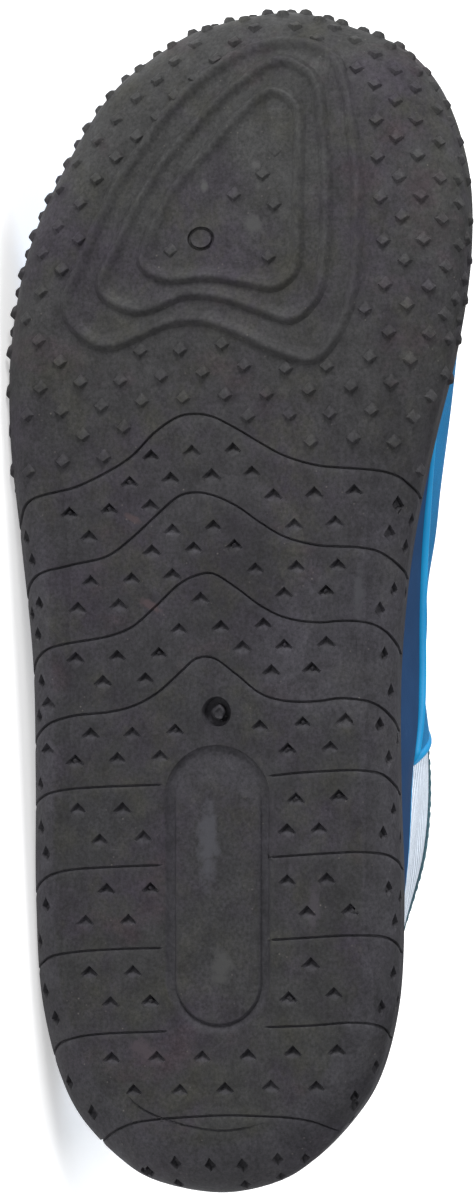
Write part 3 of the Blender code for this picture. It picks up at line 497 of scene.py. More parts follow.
# The upper's surface: a fine line for each station, from the rim to the collar edge
def collar_loop():
    outer = [(u, a, h) for u, a, _, h in COLLAR]
    inner = [(u, b, h) for u, _, b, h in COLLAR][::-1]
    points = np.array([COLLAR_FRONT] + outer + [COLLAR_BACK] + inner) * (LENGTH, BALL, INSTEP_HEIGHT)
    loop = spline(points, True, 60)
    turn = 60 * (len(COLLAR) + 1)
    return loop[:turn + 1], np.vstack((loop[turn:], loop[:1]))[::-1]


def ring_at(inset, height):
    plan = OUT - OUT_NORMAL * np.reshape(inset, (-1, 1))
    return np.stack((plan[:, 0], plan[:, 1], BASE + height), -1)


FROM_TOE = np.minimum(STATION, N - STATION) / HALF
ON_COLLAR = blend(FROM_TOE, SECTIONS, 1)
OUTER_COLLAR, INNER_COLLAR = collar_loop()
COLLAR_POINTS = np.where(
    LATERAL[:, None],
    places_at(OUTER_COLLAR, line_reach(OUTER_COLLAR), ON_COLLAR * line_reach(OUTER_COLLAR)[-1]),
    places_at(INNER_COLLAR, line_reach(INNER_COLLAR), ON_COLLAR * line_reach(INNER_COLLAR)[-1]),
)
ROWS = 121


def grid_normals(grid):
    across = np.roll(grid, -1, 0) - np.roll(grid, 1, 0)
    up = np.gradient(grid, axis=1)
    normal = np.cross(across, up)
    normal /= np.linalg.norm(normal, axis=2)[..., None] + 1e-12
    out = np.column_stack((OUT_NORMAL, np.full(N, 0.6)))
    flip = np.sign(np.einsum("ijk,ik->ij", normal, out).sum())
    return normal * flip


# Soft creases: (U share, V share, W share of instep) of the middle, direction, length, width, depth
CREASES = (
    ((0.655, -0.02, 0.80), (0.10, 1.0, 0.0), 0.070, 0.0065, -0.0016),
    ((0.605, 0.03, 0.88), (-0.06, 1.0, 0.0), 0.060, 0.0055, -0.0014),
    ((0.700, 0.05, 0.74), (0.02, 1.0, 0.0), 0.060, 0.0075, 0.0010),
    ((0.560, -0.20, 0.70), (0.75, 0.5, 0.5), 0.050, 0.0060, -0.0015),
    ((0.560, 0.26, 0.68), (0.75, -0.5, 0.5), 0.050, 0.0060, -0.0014),
    ((0.225, -0.33, 0.50), (1.0, 0.0, 0.35), 0.060, 0.0060, -0.0012),
    ((0.240, 0.35, 0.50), (1.0, 0.0, 0.30), 0.060, 0.0060, -0.0012),
    ((0.110, -0.26, 0.58), (0.8, 0.0, 0.6), 0.045, 0.0055, -0.0011),
    ((0.110, 0.28, 0.58), (0.8, 0.0, 0.6), 0.045, 0.0055, -0.0011),
    ((0.400, -0.33, 0.62), (1.0, 0.1, 0.75), 0.055, 0.0060, -0.0012),
    ((0.400, 0.37, 0.60), (1.0, -0.1, 0.75), 0.055, 0.0060, -0.0012),
    ((0.850, 0.10, 0.62), (0.1, 1.0, 0.0), 0.060, 0.0100, -0.0008),
)
CREASE_DEPTH = 1.4       # times the depths above


def creased(grid, normal, fade):
    """The upper's surface with its creases pressed in; fade is zero at its edges."""
    shift = np.zeros(grid.shape[:2])
    places = grid.reshape(-1, 3)
    for centre, way, length, width, depth in CREASES:
        middle = np.array(centre) * (LENGTH, BALL, INSTEP_HEIGHT)
        middle = places[np.argmin(np.linalg.norm(places - middle, axis=1))]
        way = np.array(way) / np.linalg.norm(way)
        offset = grid - middle
        along = offset @ way
        rest = offset - along[..., None] * way
        bend = 0.12 * along ** 2 / length
        across = np.linalg.norm(rest, axis=2) - bend
        press = CREASE_DEPTH * depth * np.exp(-(across / width) ** 2)
        shift += press * np.exp(-(along / (0.5 * length)) ** 4)
    return grid + normal * (shift * fade)[..., None]


def upper_grid():
    start = ring_at(RIM_LEAN + RIM_THICK + GAP, RIM + 0.0005)
    rise, pull = blend(FROM_TOE, SECTIONS, 2), blend(FROM_TOE, SECTIONS, 5)
    bulge = np.where(LATERAL, blend(FROM_TOE, SECTIONS, 3), blend(FROM_TOE, SECTIONS, 4))
    side, down = blend(ON_COLLAR, COLLAR_LEAVE, 1), blend(ON_COLLAR, COLLAR_LEAVE, 2)
    first = start + np.column_stack((OUT_NORMAL, np.zeros(N))) * bulge[:, None]
    first[:, 2] += rise
    leave = np.column_stack((outward(COLLAR_POINTS) * side[:, None], -down))
    last = COLLAR_POINTS + leave * pull[:, None]
    t = np.linspace(0, 1, 161)[:, None, None]
    lines = start * (1 - t) ** 3 + 3 * first * t * (1 - t) ** 2
    lines = lines + 3 * last * t * t * (1 - t)
    lines = (lines + COLLAR_POINTS * t ** 3).transpose(1, 0, 2)
    steps = np.linalg.norm(np.diff(lines, axis=1), axis=2)
    reach = np.concatenate((np.zeros((N, 1)), np.cumsum(steps, axis=1)), axis=1)
    span = reach[:, -1]
    grid = np.empty((N, ROWS, 3))
    for k in range(N):
        grid[k] = places_at(lines[k], reach[k], np.linspace(0, span[k], ROWS))
    share = np.linspace(0, 1, ROWS)[None, :]
    fade = smooth_step(share * span[:, None] / 0.010) * smooth_step((1 - share) * span[:, None] / 0.016)
    grid = creased(grid, grid_normals(grid), fade)
    return grid, grid_normals(grid), span


GRID, NORMALS, SPAN = upper_grid()


def on_upper(station, share, offset=0.0):
    """Points on the upper at fractional stations and shares of their lines, moved out."""
    station, share, offset = np.broadcast_arrays(np.asarray(station, float), share, offset)
    k = np.floor(station).astype(int)
    s = (station - k)[..., None]
    a, b = k % N, (k + 1) % N
    row = np.clip(share, 0, 1) * (ROWS - 1)
    j = np.clip(np.floor(row).astype(int), 0, ROWS - 2)
    t = (row - j)[..., None]
    return in_cells(GRID, a, b, j, s, t) + in_cells(NORMALS, a, b, j, s, t) * offset[..., None]


def span_at(station):
    return np.interp(np.asarray(station) % N, np.arange(N + 1), np.append(SPAN, SPAN[0]))


def row_reach():
    """Distance along each row of the upper from its toe line, plus on the outer side."""
    steps = np.linalg.norm(np.roll(GRID, -1, 0) - GRID, axis=2)
    outer = np.concatenate((np.zeros((1, ROWS)), np.cumsum(steps[:HALF], axis=0)))
    inner = -np.cumsum(steps[HALF:][::-1], axis=0)
    return outer, np.concatenate((np.zeros((1, ROWS)), inner))


OUTER_REACH, INNER_REACH = row_reach()


def cloth_place(station, share):
    """Cloth coordinates in metres: along the rows and up the lines."""
    station, share = np.broadcast_arrays(np.asarray(station, float), share)
    signed = np.where(station > HALF, station - N, station)
    k = np.clip(np.abs(signed), 0, HALF - 0.001)
    row = np.clip(share, 0, 1) * (ROWS - 1.001)
    i, j = k.astype(int), row.astype(int)
    outer, inner = (in_cells(table, i, i + 1, j, k - i, row - j) for table in (OUTER_REACH, INNER_REACH))
    along = np.where(signed < 0, inner, outer)
    return np.stack((along, share * span_at(station), np.zeros(along.shape)), -1)


def reach_share(station, reach):
    return reach / span_at(station)


def station_of(share_of_length, inner):
    """Fractional station where the outline passes a share of the length."""
    side = np.arange(HALF, N + 1) if inner else np.arange(0, HALF + 1)
    u = SHARE[side % N]
    order = np.argsort(u)
    return np.interp(share_of_length, u[order], side[order].astype(float))


# Mesh making
def placed(name, data):
    item = bpy.data.objects.new(name, data)
    bpy.context.scene.collection.objects.link(item)
    return item


def new_object(name, points, faces, material, smooth_angle=None, cloth=None):
    """A smooth mesh piece, with its shoe coordinates and any cloth coordinates as attributes."""
    mesh = bpy.data.meshes.new(name)
    mesh.from_pydata([tuple(p) for p in row_points(points)], [], faces)
    shape = bmesh.new()
    shape.from_mesh(mesh)
    bmesh.ops.recalc_face_normals(shape, faces=shape.faces[:])
    shape.to_mesh(mesh)
    shape.free()
    item = placed(name, mesh)
    mesh.shade_smooth()
    if smooth_angle is not None:
        mesh.set_sharp_from_angle(angle=math.radians(smooth_angle))
    for stuff in material if isinstance(material, (list, tuple)) else [material]:
        mesh.materials.append(stuff)
    for key, places in (("shoe", points), ("cloth", cloth)):
        if places is not None:
            store = mesh.attributes.new(key, "FLOAT_VECTOR", "POINT")
            store.data.foreach_set("vector", np.asarray(places, np.float32).ravel())
    return item


def ring_faces(rings, count, wrap=True, closed=True):
    """Quads between stacked rings of count points; wrap joins the last ring to the first."""
    faces = []
    for r in range(rings if wrap else rings - 1):
        a, b = r * count, (r + 1) % rings * count
        pairs = [(k, (k + 1) % count) for k in range(count if closed else count - 1)]
        faces += [(a + k, a + n, b + n, b + k) for k, n in pairs]
    return faces


def across_faces(first):
    """Faces that close a ring of N points from side to side."""
    quads = [(k, k + 1, (N - k - 1) % N, (N - k) % N) for k in range(HALF)]
    return [tuple(first + k for k in dict.fromkeys(quad)) for quad in quads]


def tree_of(points):
    """Search tree over places of the flat sheet."""
    tree = KDTree(len(points))
    for k, p in enumerate(points):
        tree.insert((p[0], p[1], 0.0), k)
    tree.balance()
    return tree


def gap_to(tree, p):
    """Distance from a place to the nearest one in the tree."""
    return tree.find((p[0], p[1], 0.0))[2]


# Across a groove, from its toe side: place in millimetres and level
GROOVE_PROFILE = (
    (0.22, 0.0), (0.08, -0.35), (0.0, -1.0), (-0.22, -1.0), (-0.42, -0.36),
    (-0.9, -0.20), (-1.5, -0.08), (-2.2, 0.0),
)
# Plan of a sunk wedge: its rim, the deep line along its two arms and the middle of its floor
PIT_RIM = (
    (2.0, 0), (0.98, -1.08), (-0.05, -2.15), (-1.0, -1.2),
    (-1.9, 0), (-1.0, 1.2), (-0.05, 2.15), (0.98, 1.08),
)
PIT_ARMS = ((-0.35, -1.62), (0.52, -0.96), (1.40, 0), (0.52, 0.96), (-0.35, 1.62))
PIT_MIDDLE = ((-0.35, -0.7), (-0.05, 0), (-0.35, 0.7))


class Relief:
    """Places on the flat sheet with levels, and the lines that the tread's mesh must keep."""

    def __init__(self):
        self.points, self.levels, self.lines = [], [], []

    def line(self, points, levels, closed=False):
        points = np.asarray(points, float)
        first = len(self.points)
        self.points += [tuple(p) for p in points]
        self.levels += list(np.broadcast_to(levels, (len(points),)).astype(float))
        last = len(self.points)
        self.lines += [(k, k + 1) for k in range(first, last - 1)]
        if closed:
            self.lines.append((last - 1, first))
        return list(range(first, last))

    def pit(self, centre, size, depth, blind=False):
        """A sunk wedge, its steep arms meeting toewards and its floor rising, or a deep pocket."""
        narrow = 0.66 if blind else 1.0
        arms, floor, heel = (-0.35, -0.9, -1.0, -0.9, -0.35), (-0.30, -0.48, -0.30), -0.10
        if blind:
            arms, floor, heel = (-0.8, -1.0, -1.0, -1.0, -0.8), (-1.0, -1.0, -1.0), -0.8

        def line(places, levels, closed=False):
            spots = [(u * size * 0.001, v * narrow * size * 0.001) for u, v in places]
            return self.line(centre + np.array(spots), np.array(levels) * depth, closed)

        ring = line(PIT_RIM, 0.0, True)
        deep = line(PIT_ARMS, arms)
        middle = line(PIT_MIDDLE, floor)
        line([(-1.1, 0.0)], heel)
        self.lines += [(deep[k], ring[n]) for k, n in ((0, 2), (4, 6), (1, 1), (3, 7), (2, 0))]
        self.lines += [(middle[0], deep[0]), (middle[2], deep[4])]

    def groove(self, points, depth=0.0009, run=1.0, taper=0.0):
        """A narrow slot whose heel side ramps up softly."""
        p = evenly(spline(points, False, 24), 500)
        p = p[room(p) > 0.0008]
        p = evenly(p, max(6, int(line_reach(p)[-1] / 0.0012)))
        way = np.gradient(p, axis=0)
        side = np.stack((way[:, 1], -way[:, 0]), -1)
        side /= np.linalg.norm(side, axis=1)[:, None]
        side *= np.sign(side[:, 0].sum())
        ends = self.line(p[[0, -1]], 0.0)
        self.lines.pop()
        reach = np.minimum(np.arange(len(p)), np.arange(len(p))[::-1]) * 0.0012
        fade = smooth_step(reach / taper) if taper else np.ones(len(p))
        for shift, level in GROOVE_PROFILE:
            far = shift * run if shift < -0.5 else shift
            ids = self.line((p + side * (far * 0.001))[1:-1], level * depth * (fade[1:-1] if level else 1.0))
            self.lines += [(ends[0], ids[0]), (ids[-1], ends[1])]

    def ridge(self, loop, half, rise, steps=9):
        """A rounded ridge along a closed loop, a little steeper outside."""
        normal = outward(loop)
        for x in np.linspace(-1, 1, steps):
            line = loop + normal * (x * half * (0.78 if x > 0 else 1.1))
            far = loop_distance(loop, line) / (half * np.where(inside(loop, line), 1.1, 0.78))
            self.line(line, rise * (0.5 + 0.5 * np.cos(math.pi * np.clip(far, 0, 1))) ** 0.7, True)


def loop_distance(loop, points):
    a, b = loop, np.roll(loop, -1, 0)
    edge = b - a
    t = np.clip(np.einsum("pij,ij->pi", points[:, None] - a, edge) / np.sum(edge * edge, 1), 0, 1)
    return np.linalg.norm(points[:, None] - (a + t[..., None] * edge), axis=2).min(1)


def room(points):
    """Distance from places of the flat sheet to its edge at the rim."""
    far, _, _, flare, wall = foot_of(points)
    return table_value(ARCS, flare, np.ones(len(flare))) - flare + wall - far


def ring_loop(k, count):
    """Middle line of the forefoot's ring k."""
    centre, rows = np.array(RING_CENTRE) * (LENGTH, BALL), []
    for row in RINGS:
        angle = math.radians(row[0])
        rows.append(centre + row[k] * BALL * np.array((math.cos(angle), math.sin(angle))))
    loop = spline(rows, True, 12)
    return evenly(np.vstack((loop, loop[:1])), count)[:-1]


# Middles of the pad's two round ends
PAD_LOW = PAD["heel"] * LENGTH + PAD["half"] * BALL
PAD_HIGH = PAD["toe"] * LENGTH - PAD["half"] * BALL


def pad_loop(shrink):
    half = PAD["half"] * BALL - shrink
    centre = PAD["centre"] * BALL
    turn = np.linspace(-math.pi / 2, math.pi / 2, 40)
    ring = [(PAD_HIGH + half * math.cos(a), centre + half * math.sin(a)) for a in turn]
    ring += [(PAD_LOW - half * math.cos(a), centre + half * math.sin(a)) for a in -turn]
    ring.append(ring[0])
    return evenly(ring, 150)[:-1]


def round_loop(centre, along, across, count=30, wobble=0.0):
    a = np.linspace(0, 2 * math.pi, count, endpoint=False)
    size = 1 + wobble * (np.sin(3 * a + 0.6) + 0.6 * np.sin(5 * a + 2.0))
    return np.stack((centre[0] + along * size * np.cos(a), centre[1] + across * size * np.sin(a)), -1)


def wave_line(k):
    """Wave groove k: its charted ends and its middle from the table of waves."""
    middle = [(row[k + 1] * LENGTH * 1000, row[0] * BALL * 1000) for row in WAVES if -0.30 < row[0] < 0.30]
    return np.array(list(WAVE_OUTER[k]) + middle + list(WAVE_INNER[k])) / 1000


# Moulding marks as loops: radius and level in millimetres, and how uneven the loop is
GATE_RING_PROFILE = ((3.15, 0.0), (3.0, -0.8), (2.45, -0.85), (2.25, 0.15), (1.9, 0.10), (1.3, 0.0))
GATE_HOLE_PROFILE = (
    (3.75, 0.0, 0.01), (3.6, -0.7, 0.01), (3.35, -2.4, 0.01), (2.6, -2.5, 0.02), (2.0, -2.3, 0.04),
)
GATE_STUB_PROFILE = ((1.75, -0.7), (1.3, -0.35), (0.7, -0.75))


def tread_relief():
    """Rings, grooves, pad and moulding marks of the tread."""
    relief = Relief()
    for k, count in ((1, 250), (2, 200), (3, 150)):
        relief.ridge(ring_loop(k, count), 0.0019, 0.0013)
    for k in range(4):
        relief.groove(wave_line(k))
    for rows in CROSS_OUTER + CROSS_INNER:
        relief.groove(np.array(rows) / 1000, 0.0008, 0.7, 0.0016)
    relief.groove(np.array(HEEL_GROOVE) / 1000, 0.0008, 0.8, 0.006)
    relief.groove(np.array(HEEL_SCAR) / 1000, 0.0004, 0.3, 0.008)
    for shrink, level, at_heel, at_toe in PAD_PROFILE:
        line = pad_loop(shrink * 0.001)
        heelward = smooth_step((PAD_LOW + 0.002 - line[:, 0]) / 0.010)
        toeward = smooth_step((line[:, 0] - PAD_HIGH + 0.004) / 0.013)
        depth = level + (at_heel - level) * heelward + (at_toe - level) * toeward
        relief.line(line, depth * 0.001, True)
    ring = (GATE_RING[0] * LENGTH, GATE_RING[1] * BALL)
    for size, level in GATE_RING_PROFILE:
        relief.line(round_loop(ring, size * 0.00092, size * 0.00108), level * 0.001, True)
    hole = (GATE_HOLE[0] * LENGTH, GATE_HOLE[1] * BALL)
    for size, level, wobble in GATE_HOLE_PROFILE:
        relief.line(round_loop(hole, size * 0.001, size * 0.00097, 34, wobble), level * 0.001, True)
    stub = (hole[0] - 0.0003, hole[1] + 0.0005)
    for size, level in GATE_STUB_PROFILE:
        relief.line(round_loop(stub, size * 0.001, size * 0.0008, 22, 0.10), level * 0.001, True)
    add_tread_crease(relief)
    return relief


def add_tread_crease(relief):
    """A faint line where the flat tread turns into its rounded edge, broken at the grooves."""
    taken = tree_of(relief.points)
    edge = OUT - OUT_NORMAL * FLARE[:, None]
    for half in (range(30, HALF - 20), range(HALF + 20, N - 30)):
        run = edge[list(half)]
        run = evenly(run[(run[:, 0] > 0.030) & (run[:, 0] < 0.168)], 110)
        side = np.sign(run[0, 1])
        group = []
        for p in list(run) + [None]:
            if p is not None and gap_to(taken, p) > 0.0016:
                group.append(p)
                continue
            if len(group) > 3:
                for shift, level in ((-0.30, 0.0), (0.0, -0.10), (0.40, 0.0)):
                    relief.line(np.array(group) + np.array((0.0, shift * 0.001 * side)), level * 0.001)
            group = []


# Least room to the rim for pits and studs, and least distance between wall studs and tread studs
PIT_ROOM, STUD_ROOM, STUD_GAP = 0.0030, 0.0026, 0.0044


def pit_places():
    """Sunk wedges of the tread and of the walls: place, size, depth and whether it is a pocket."""
    rng = np.random.default_rng(11)
    sheet = np.vstack((laid_out(np.array(PITS) / 1000), np.array(WALL_PITS) / 1000))
    far, _, _, flare, _ = foot_of(sheet)
    out = []
    for p, past, free in zip(sheet, far + flare, room(sheet)):
        if free > PIT_ROOM:
            out.append((p, rng.uniform(1.02, 1.16), rng.uniform(1.2, 1.6) * 0.001, bool(past > 0.0045)))
    return out


CELL = 0.00125           # pitch of the plain points of the sheet
CELL_GAP = 0.00066       # least distance of a plain point from the relief
PIT_GAP = 0.0009         # least distance of a pit's middle from the relief


def tread_sheet():
    """The whole underside and side wall as one mesh: points, faces and the ring of its rim."""
    relief = tread_relief()
    taken = tree_of(relief.points)
    for place, size, depth, blind in pit_places():
        if gap_to(taken, place) > PIT_GAP:
            relief.pit(place, size, depth, blind)
    rim = relief.line(SHEET_EDGE, 0.0, True)
    taken = tree_of(relief.points)
    cells = []
    for i, u in enumerate(np.arange(-0.02, LENGTH + 0.02, CELL * 0.866)):
        for v in np.arange(-0.072, 0.084, CELL):
            cells.append((u, v + 0.5 * CELL * (i % 2)))
    cells = np.array(cells)
    cells = np.vstack([block[inside(SHEET_EDGE, block)] for block in np.array_split(cells, 20)])
    for p in cells:
        if gap_to(taken, p) > CELL_GAP:
            relief.points.append((float(p[0]), float(p[1])))
            relief.levels.append(0.0)
    made = delaunay_2d_cdt([Vector(p) for p in relief.points], relief.lines, [], 0, 1e-7)
    sheet = np.array([tuple(v) for v in made[0]])
    given = np.array(relief.points)
    levels = np.zeros(len(sheet))
    ring = [None] * N
    for k, ids in enumerate(made[3]):
        source = ids[0] if ids else int(np.argmin(np.sum((given - sheet[k]) ** 2, axis=1)))
        levels[k] = relief.levels[source]
        for source in ids:
            if rim[0] <= source <= rim[-1]:
                ring[source - rim[0]] = k
    solid = skin(sheet)
    lifted = np.nonzero(levels)[0]
    solid[lifted] += skin_normal(sheet[lifted]) * levels[lifted][:, None]
    faces = [tuple(f) for f in made[2]]
    middles = np.array([sheet[list(f)].mean(0) for f in faces])
    good = np.concatenate([inside(SHEET_EDGE, block) for block in np.array_split(middles, 30)])
    return solid, [f for f, keep in zip(faces, good) if keep], ring


def stud_template(wall):
    """One raised wedge: gentle toe side, steep V on the heel side, edges rounded."""
    shape = bmesh.new()
    low = ((2.35, 0.0), (0.0, -2.2), (-2.0, 0.0), (0.0, 2.2))
    top = ((1.6, 0.0, 0.30), (-0.05, -1.55, 0.90), (-1.25, 0.0, 1.35), (-0.05, 1.55, 0.90))
    if wall:
        low = ((2.4, 0.0), (0.0, -2.1), (-2.3, 0.0), (0.0, 2.1))
        top = ((1.3, 0.0, 0.80), (0.0, -1.35, 1.05), (-1.2, 0.0, 1.30), (0.0, 1.35, 1.05))
    low = [shape.verts.new((x * 0.001, y * 0.001, -0.0002)) for x, y in low]
    high = [shape.verts.new(tuple(c * 0.001 for c in p)) for p in top]
    shape.faces.new(high)
    for k in range(4):
        n = (k + 1) % 4
        shape.faces.new((low[k], low[n], high[n], high[k]))
    bmesh.ops.recalc_face_normals(shape, faces=shape.faces[:])
    edges = [e for e in shape.edges if not (e.verts[0] in low and e.verts[1] in low)]
    offset, segments = (0.00040, 3) if wall else (0.00016, 2)
    bmesh.ops.bevel(shape, geom=edges, offset=offset, segments=segments, profile=0.5, affect="EDGES")
    shape.verts.ensure_lookup_table()
    shape.verts.index_update()
    points = np.array([tuple(v.co) for v in shape.verts])
    faces = [tuple(v.index for v in f.verts) for f in shape.faces]
    shape.free()
    return points, faces


def stud_places():
    """Sheet place, size and kind of each raised stud."""
    rng = np.random.default_rng(7)
    places = []
    for key, p in zip(STUDS, laid_out(np.array(STUDS) / 1000)):
        places.append((p, WORN_STUDS.get(key, rng.uniform(0.80, 1.05)), False))
    total = table_value(ARCS, FLARE, np.ones(N))
    reach = line_reach(np.vstack((OUT, OUT[:1])))
    first, last = station_of(0.580, False), station_of(0.690, True)
    start_at = np.interp(last, np.arange(N + 1), reach) - reach[-1]
    end_at = np.interp(first, np.arange(N + 1), reach)
    chart = np.array([p for p, _, _ in places])
    for row, past in enumerate((-3.4, 0.2, 4.0)):
        for at in np.arange(start_at + 0.0048 * (row % 2), end_at, 0.0096):
            s = np.interp(at % reach[-1], reach, np.arange(N + 1)) % N
            k = int(s)
            n = (k + 1) % N
            t = s - k
            foot = OUT[k] * (1 - t) + OUT[n] * t
            p = foot + OUT_NORMAL[k] * (total[k] - FLARE[k] + past * 0.001)
            if np.min(np.linalg.norm(chart - p, axis=1)) > STUD_GAP:
                places.append((p, rng.uniform(0.85, 1.05), True))
    sheet = np.array([p for p, _, _ in places])
    keep = room(sheet) > STUD_ROOM
    return [place for place, good in zip(places, keep) if good]


def make_studs():
    """All raised studs as one piece; a stud that would pass the floor is pressed flatter."""
    kinds = {False: stud_template(False), True: stud_template(True)}
    places = stud_places()
    sheet = np.array([p for p, _, _ in places])
    middle, out_all = skin(sheet), skin_normal(sheet)
    toe_all = skin(sheet + np.array((0.0003, 0.0))) - middle
    points, faces, count = [], [], 0
    for (p, size, wall), place, out, toe in zip(places, middle, out_all, toe_all):
        template, pattern = kinds[wall]
        toe = toe - out * (toe @ out)
        toe /= np.linalg.norm(toe)
        side = np.cross(out, toe)
        for squeeze in (1.0, 0.7, 0.45, 0.25, 0.1):
            local = template * np.array((0.94, 0.94, size * squeeze))
            solid = place + local[:, :1] * toe + local[:, 1:2] * side + local[:, 2:] * out
            if row_points(solid)[:, 2].min() > 0.00005:
                break
        else:
            continue
        points.append(solid)
        faces += [tuple(i + count for i in f) for f in pattern]
        count += len(template)
    return new_object("tread_studs", np.vstack(points), faces, RUBBER, smooth_angle=38)


def make_outsole():
    """Tread and walls with the rim's lip and the cup that takes the upper."""
    solid, faces, ring = tread_sheet()
    points = [solid]
    count = len(solid)
    rings = [ring]
    lip = (
        (0.0, -0.0003), (0.0002, 0.0002), (0.0007, 0.0005),
        (0.0018, 0.0005), (0.0023, 0.0003), (RIM_THICK, -0.0003),
    )
    profile = [(RIM_LEAN + more, RIM + rise) for more, rise in lip]
    for inset, height in profile + [(0.0036, RIM - 0.004), (CUP_INSET - 0.0003, FLOOR)]:
        points.append(ring_at(inset, height))
        rings.append(list(range(count, count + N)))
        count += N
    for low, high in zip(rings[:-1], rings[1:]):
        faces += [(low[k], low[(k + 1) % N], high[(k + 1) % N], high[k]) for k in range(N)]
    faces += across_faces(count - N)
    return new_object("outsole_rubber", np.vstack(points), faces, RUBBER, smooth_angle=40)


# Materials
def grey(x):
    return (x, x, x)


class Paint:
    """A node material in the making. Its textures follow the shoe's own coordinates."""

    def __init__(self, name, roughness, sheen=0.0, coat=0.0, specular=0.5):
        self.material = bpy.data.materials.new(name)
        self.material.use_nodes = True
        self.nodes, self.links = self.material.node_tree.nodes, self.material.node_tree.links
        self.shader = self.nodes["Principled BSDF"]
        for socket, value in (
            ("Roughness", roughness), ("Sheen Weight", sheen), ("Sheen Roughness", 0.5),
            ("Coat Weight", coat), ("Coat Roughness", 0.35), ("Specular IOR Level", specular),
        ):
            self.shader.inputs[socket].default_value = value
        self.where = self.attribute("shoe")

    def node(self, kind, inputs=(), **settings):
        """A new node with its settings and its inputs, each a value or another node's output."""
        node = self.nodes.new("ShaderNode" + kind)
        for key, value in settings.items():
            setattr(node, key, value)
        for socket, value in inputs:
            if isinstance(value, bpy.types.NodeSocket):
                self.links.new(value, node.inputs[socket])
            else:
                node.inputs[socket].default_value = value
        return node

    def attribute(self, name):
        return self.node("Attribute", attribute_name=name).outputs["Vector"]

    def split(self, vector):
        return self.node("SeparateXYZ", ((0, vector),)).outputs

    def math(self, operation, *values):
        return self.node("Math", enumerate(values), operation=operation).outputs[0]

    def noise(self, scale, detail=4.0, roughness=0.55, stretch=None):
        vector = self.where
        if stretch:
            vector = self.node("Mapping", (("Vector", vector), ("Scale", stretch))).outputs["Vector"]
        inputs = (("Vector", vector), ("Scale", scale), ("Detail", detail), ("Roughness", roughness))
        return self.node("TexNoise", inputs).outputs["Fac"]

    def ramp(self, value, *stops):
        """Colours at positions; a single number stands for a grey."""
        stops = [(at, (*(c if isinstance(c, tuple) else grey(c)), 1)) for at, c in stops]
        node = self.node("ValToRGB", (("Fac", value),))
        ends = node.color_ramp.elements
        ends[0].position, ends[0].color = stops[0]
        ends[1].position, ends[1].color = stops[-1]
        for at, colour in stops[1:-1]:
            ends.new(at).color = colour
        return node.outputs["Color"]

    def mix(self, factor, a, b, mode="MIX"):
        a, b = ((*c, 1) if isinstance(c, tuple) else c for c in (a, b))
        inputs = ((0, factor), (6, a), (7, b))
        return self.node("Mix", inputs, data_type="RGBA", blend_type=mode).outputs[2]

    def times(self, a, b):
        return self.mix(1.0, a, b, "MULTIPLY")

    def far_from(self, place, size, turn=0.0):
        """Distance from a place, in units of the given sizes."""
        turned = (0.0, 0.0, turn)
        inputs = (("Vector", self.where), ("Location", place), ("Rotation", turned), ("Scale", size))
        local = self.node("Mapping", inputs, vector_type="TEXTURE").outputs["Vector"]
        return self.node("VectorMath", ((0, local),), operation="LENGTH").outputs["Value"]

    def colour(self, tone):
        self.links.new(tone, self.shader.inputs["Base Color"])

    def bump(self, height, distance, strength, before=None):
        inputs = [("Distance", distance), ("Strength", strength), ("Height", height)]
        if before is not None:
            inputs.append(("Normal", before))
        normal = self.node("Bump", inputs).outputs["Normal"]
        self.links.new(normal, self.shader.inputs["Normal"])
        return normal


# Broad darker and paler areas: position, size along and across, tone. The two long paler strips along the
# outer and inner walls are painted light on the rounded walls; the other patches are darker or paler tone.
PATCHES_AND_PAINTED_WALL_LIGHT = (
    ((0.147, 0.008, 0.0), (0.034, 0.028), 0.66), ((0.060, 0.031, 0.0), (0.046, 0.014), 0.80),
    ((0.002, 0.000, 0.0), (0.028, 0.030), 0.82), ((0.118, -0.040, 0.0), (0.110, 0.009), 1.36),
    ((0.110, 0.046, 0.0), (0.110, 0.009), 1.40), ((0.048, -0.001, 0.0), (0.016, 0.012), 1.28),
    ((0.170, 0.044, 0.0), (0.010, 0.012), 0.88), ((0.200, 0.046, 0.0), (0.040, 0.007), 0.86),
)
# Rubbed places: position, size, stretch along and across with a turn, colour
SCUFFS = (
    ((0.1625, -0.0175, 0.0), 0.0040, (0.55, 1.6, 0.5), (0.050, 0.036, 0.038)),
    ((0.1420, -0.0135, 0.0), 0.0050, (0.60, 1.7, 0.6), (0.052, 0.037, 0.040)),
    ((0.0850, 0.0010, 0.0), 0.0085, (3.2, 0.75, 0.0), (0.046, 0.046, 0.053)),
    ((0.0550, 0.0040, 0.0), 0.0080, (1.6, 0.9, 0.1), (0.044, 0.044, 0.044)),
    ((0.1450, 0.0380, 0.0), 0.0060, (2.6, 0.6, 0.1), (0.043, 0.043, 0.048)),
    ((0.0700, 0.0270, 0.0), 0.0070, (2.0, 0.6, 0.0), (0.040, 0.036, 0.042)),
    ((0.0350, -0.0150, 0.0), 0.0070, (0.9, 1.5, 0.3), (0.046, 0.037, 0.043)),
    ((0.2330, 0.0120, 0.0), 0.0075, (1.0, 0.9, 0.0), (0.047, 0.047, 0.047)),
    ((0.2420, -0.0010, 0.0), 0.0035, (1.0, 0.9, 0.0), (0.055, 0.055, 0.055)),
    ((0.2470, 0.0115, 0.0), 0.0030, (1.0, 1.0, 0.0), (0.055, 0.054, 0.054)),
)


# Tones along the shoe, from heel to toe
RUBBER_TONES = (
    (0.0, 0.031), (0.10, 0.027), (0.40, (0.0250, 0.0245, 0.0270)), (0.55, (0.0260, 0.0250, 0.0280)),
    (0.72, (0.0295, 0.0290, 0.0300)), (0.88, 0.0335), (1.0, 0.034),
)
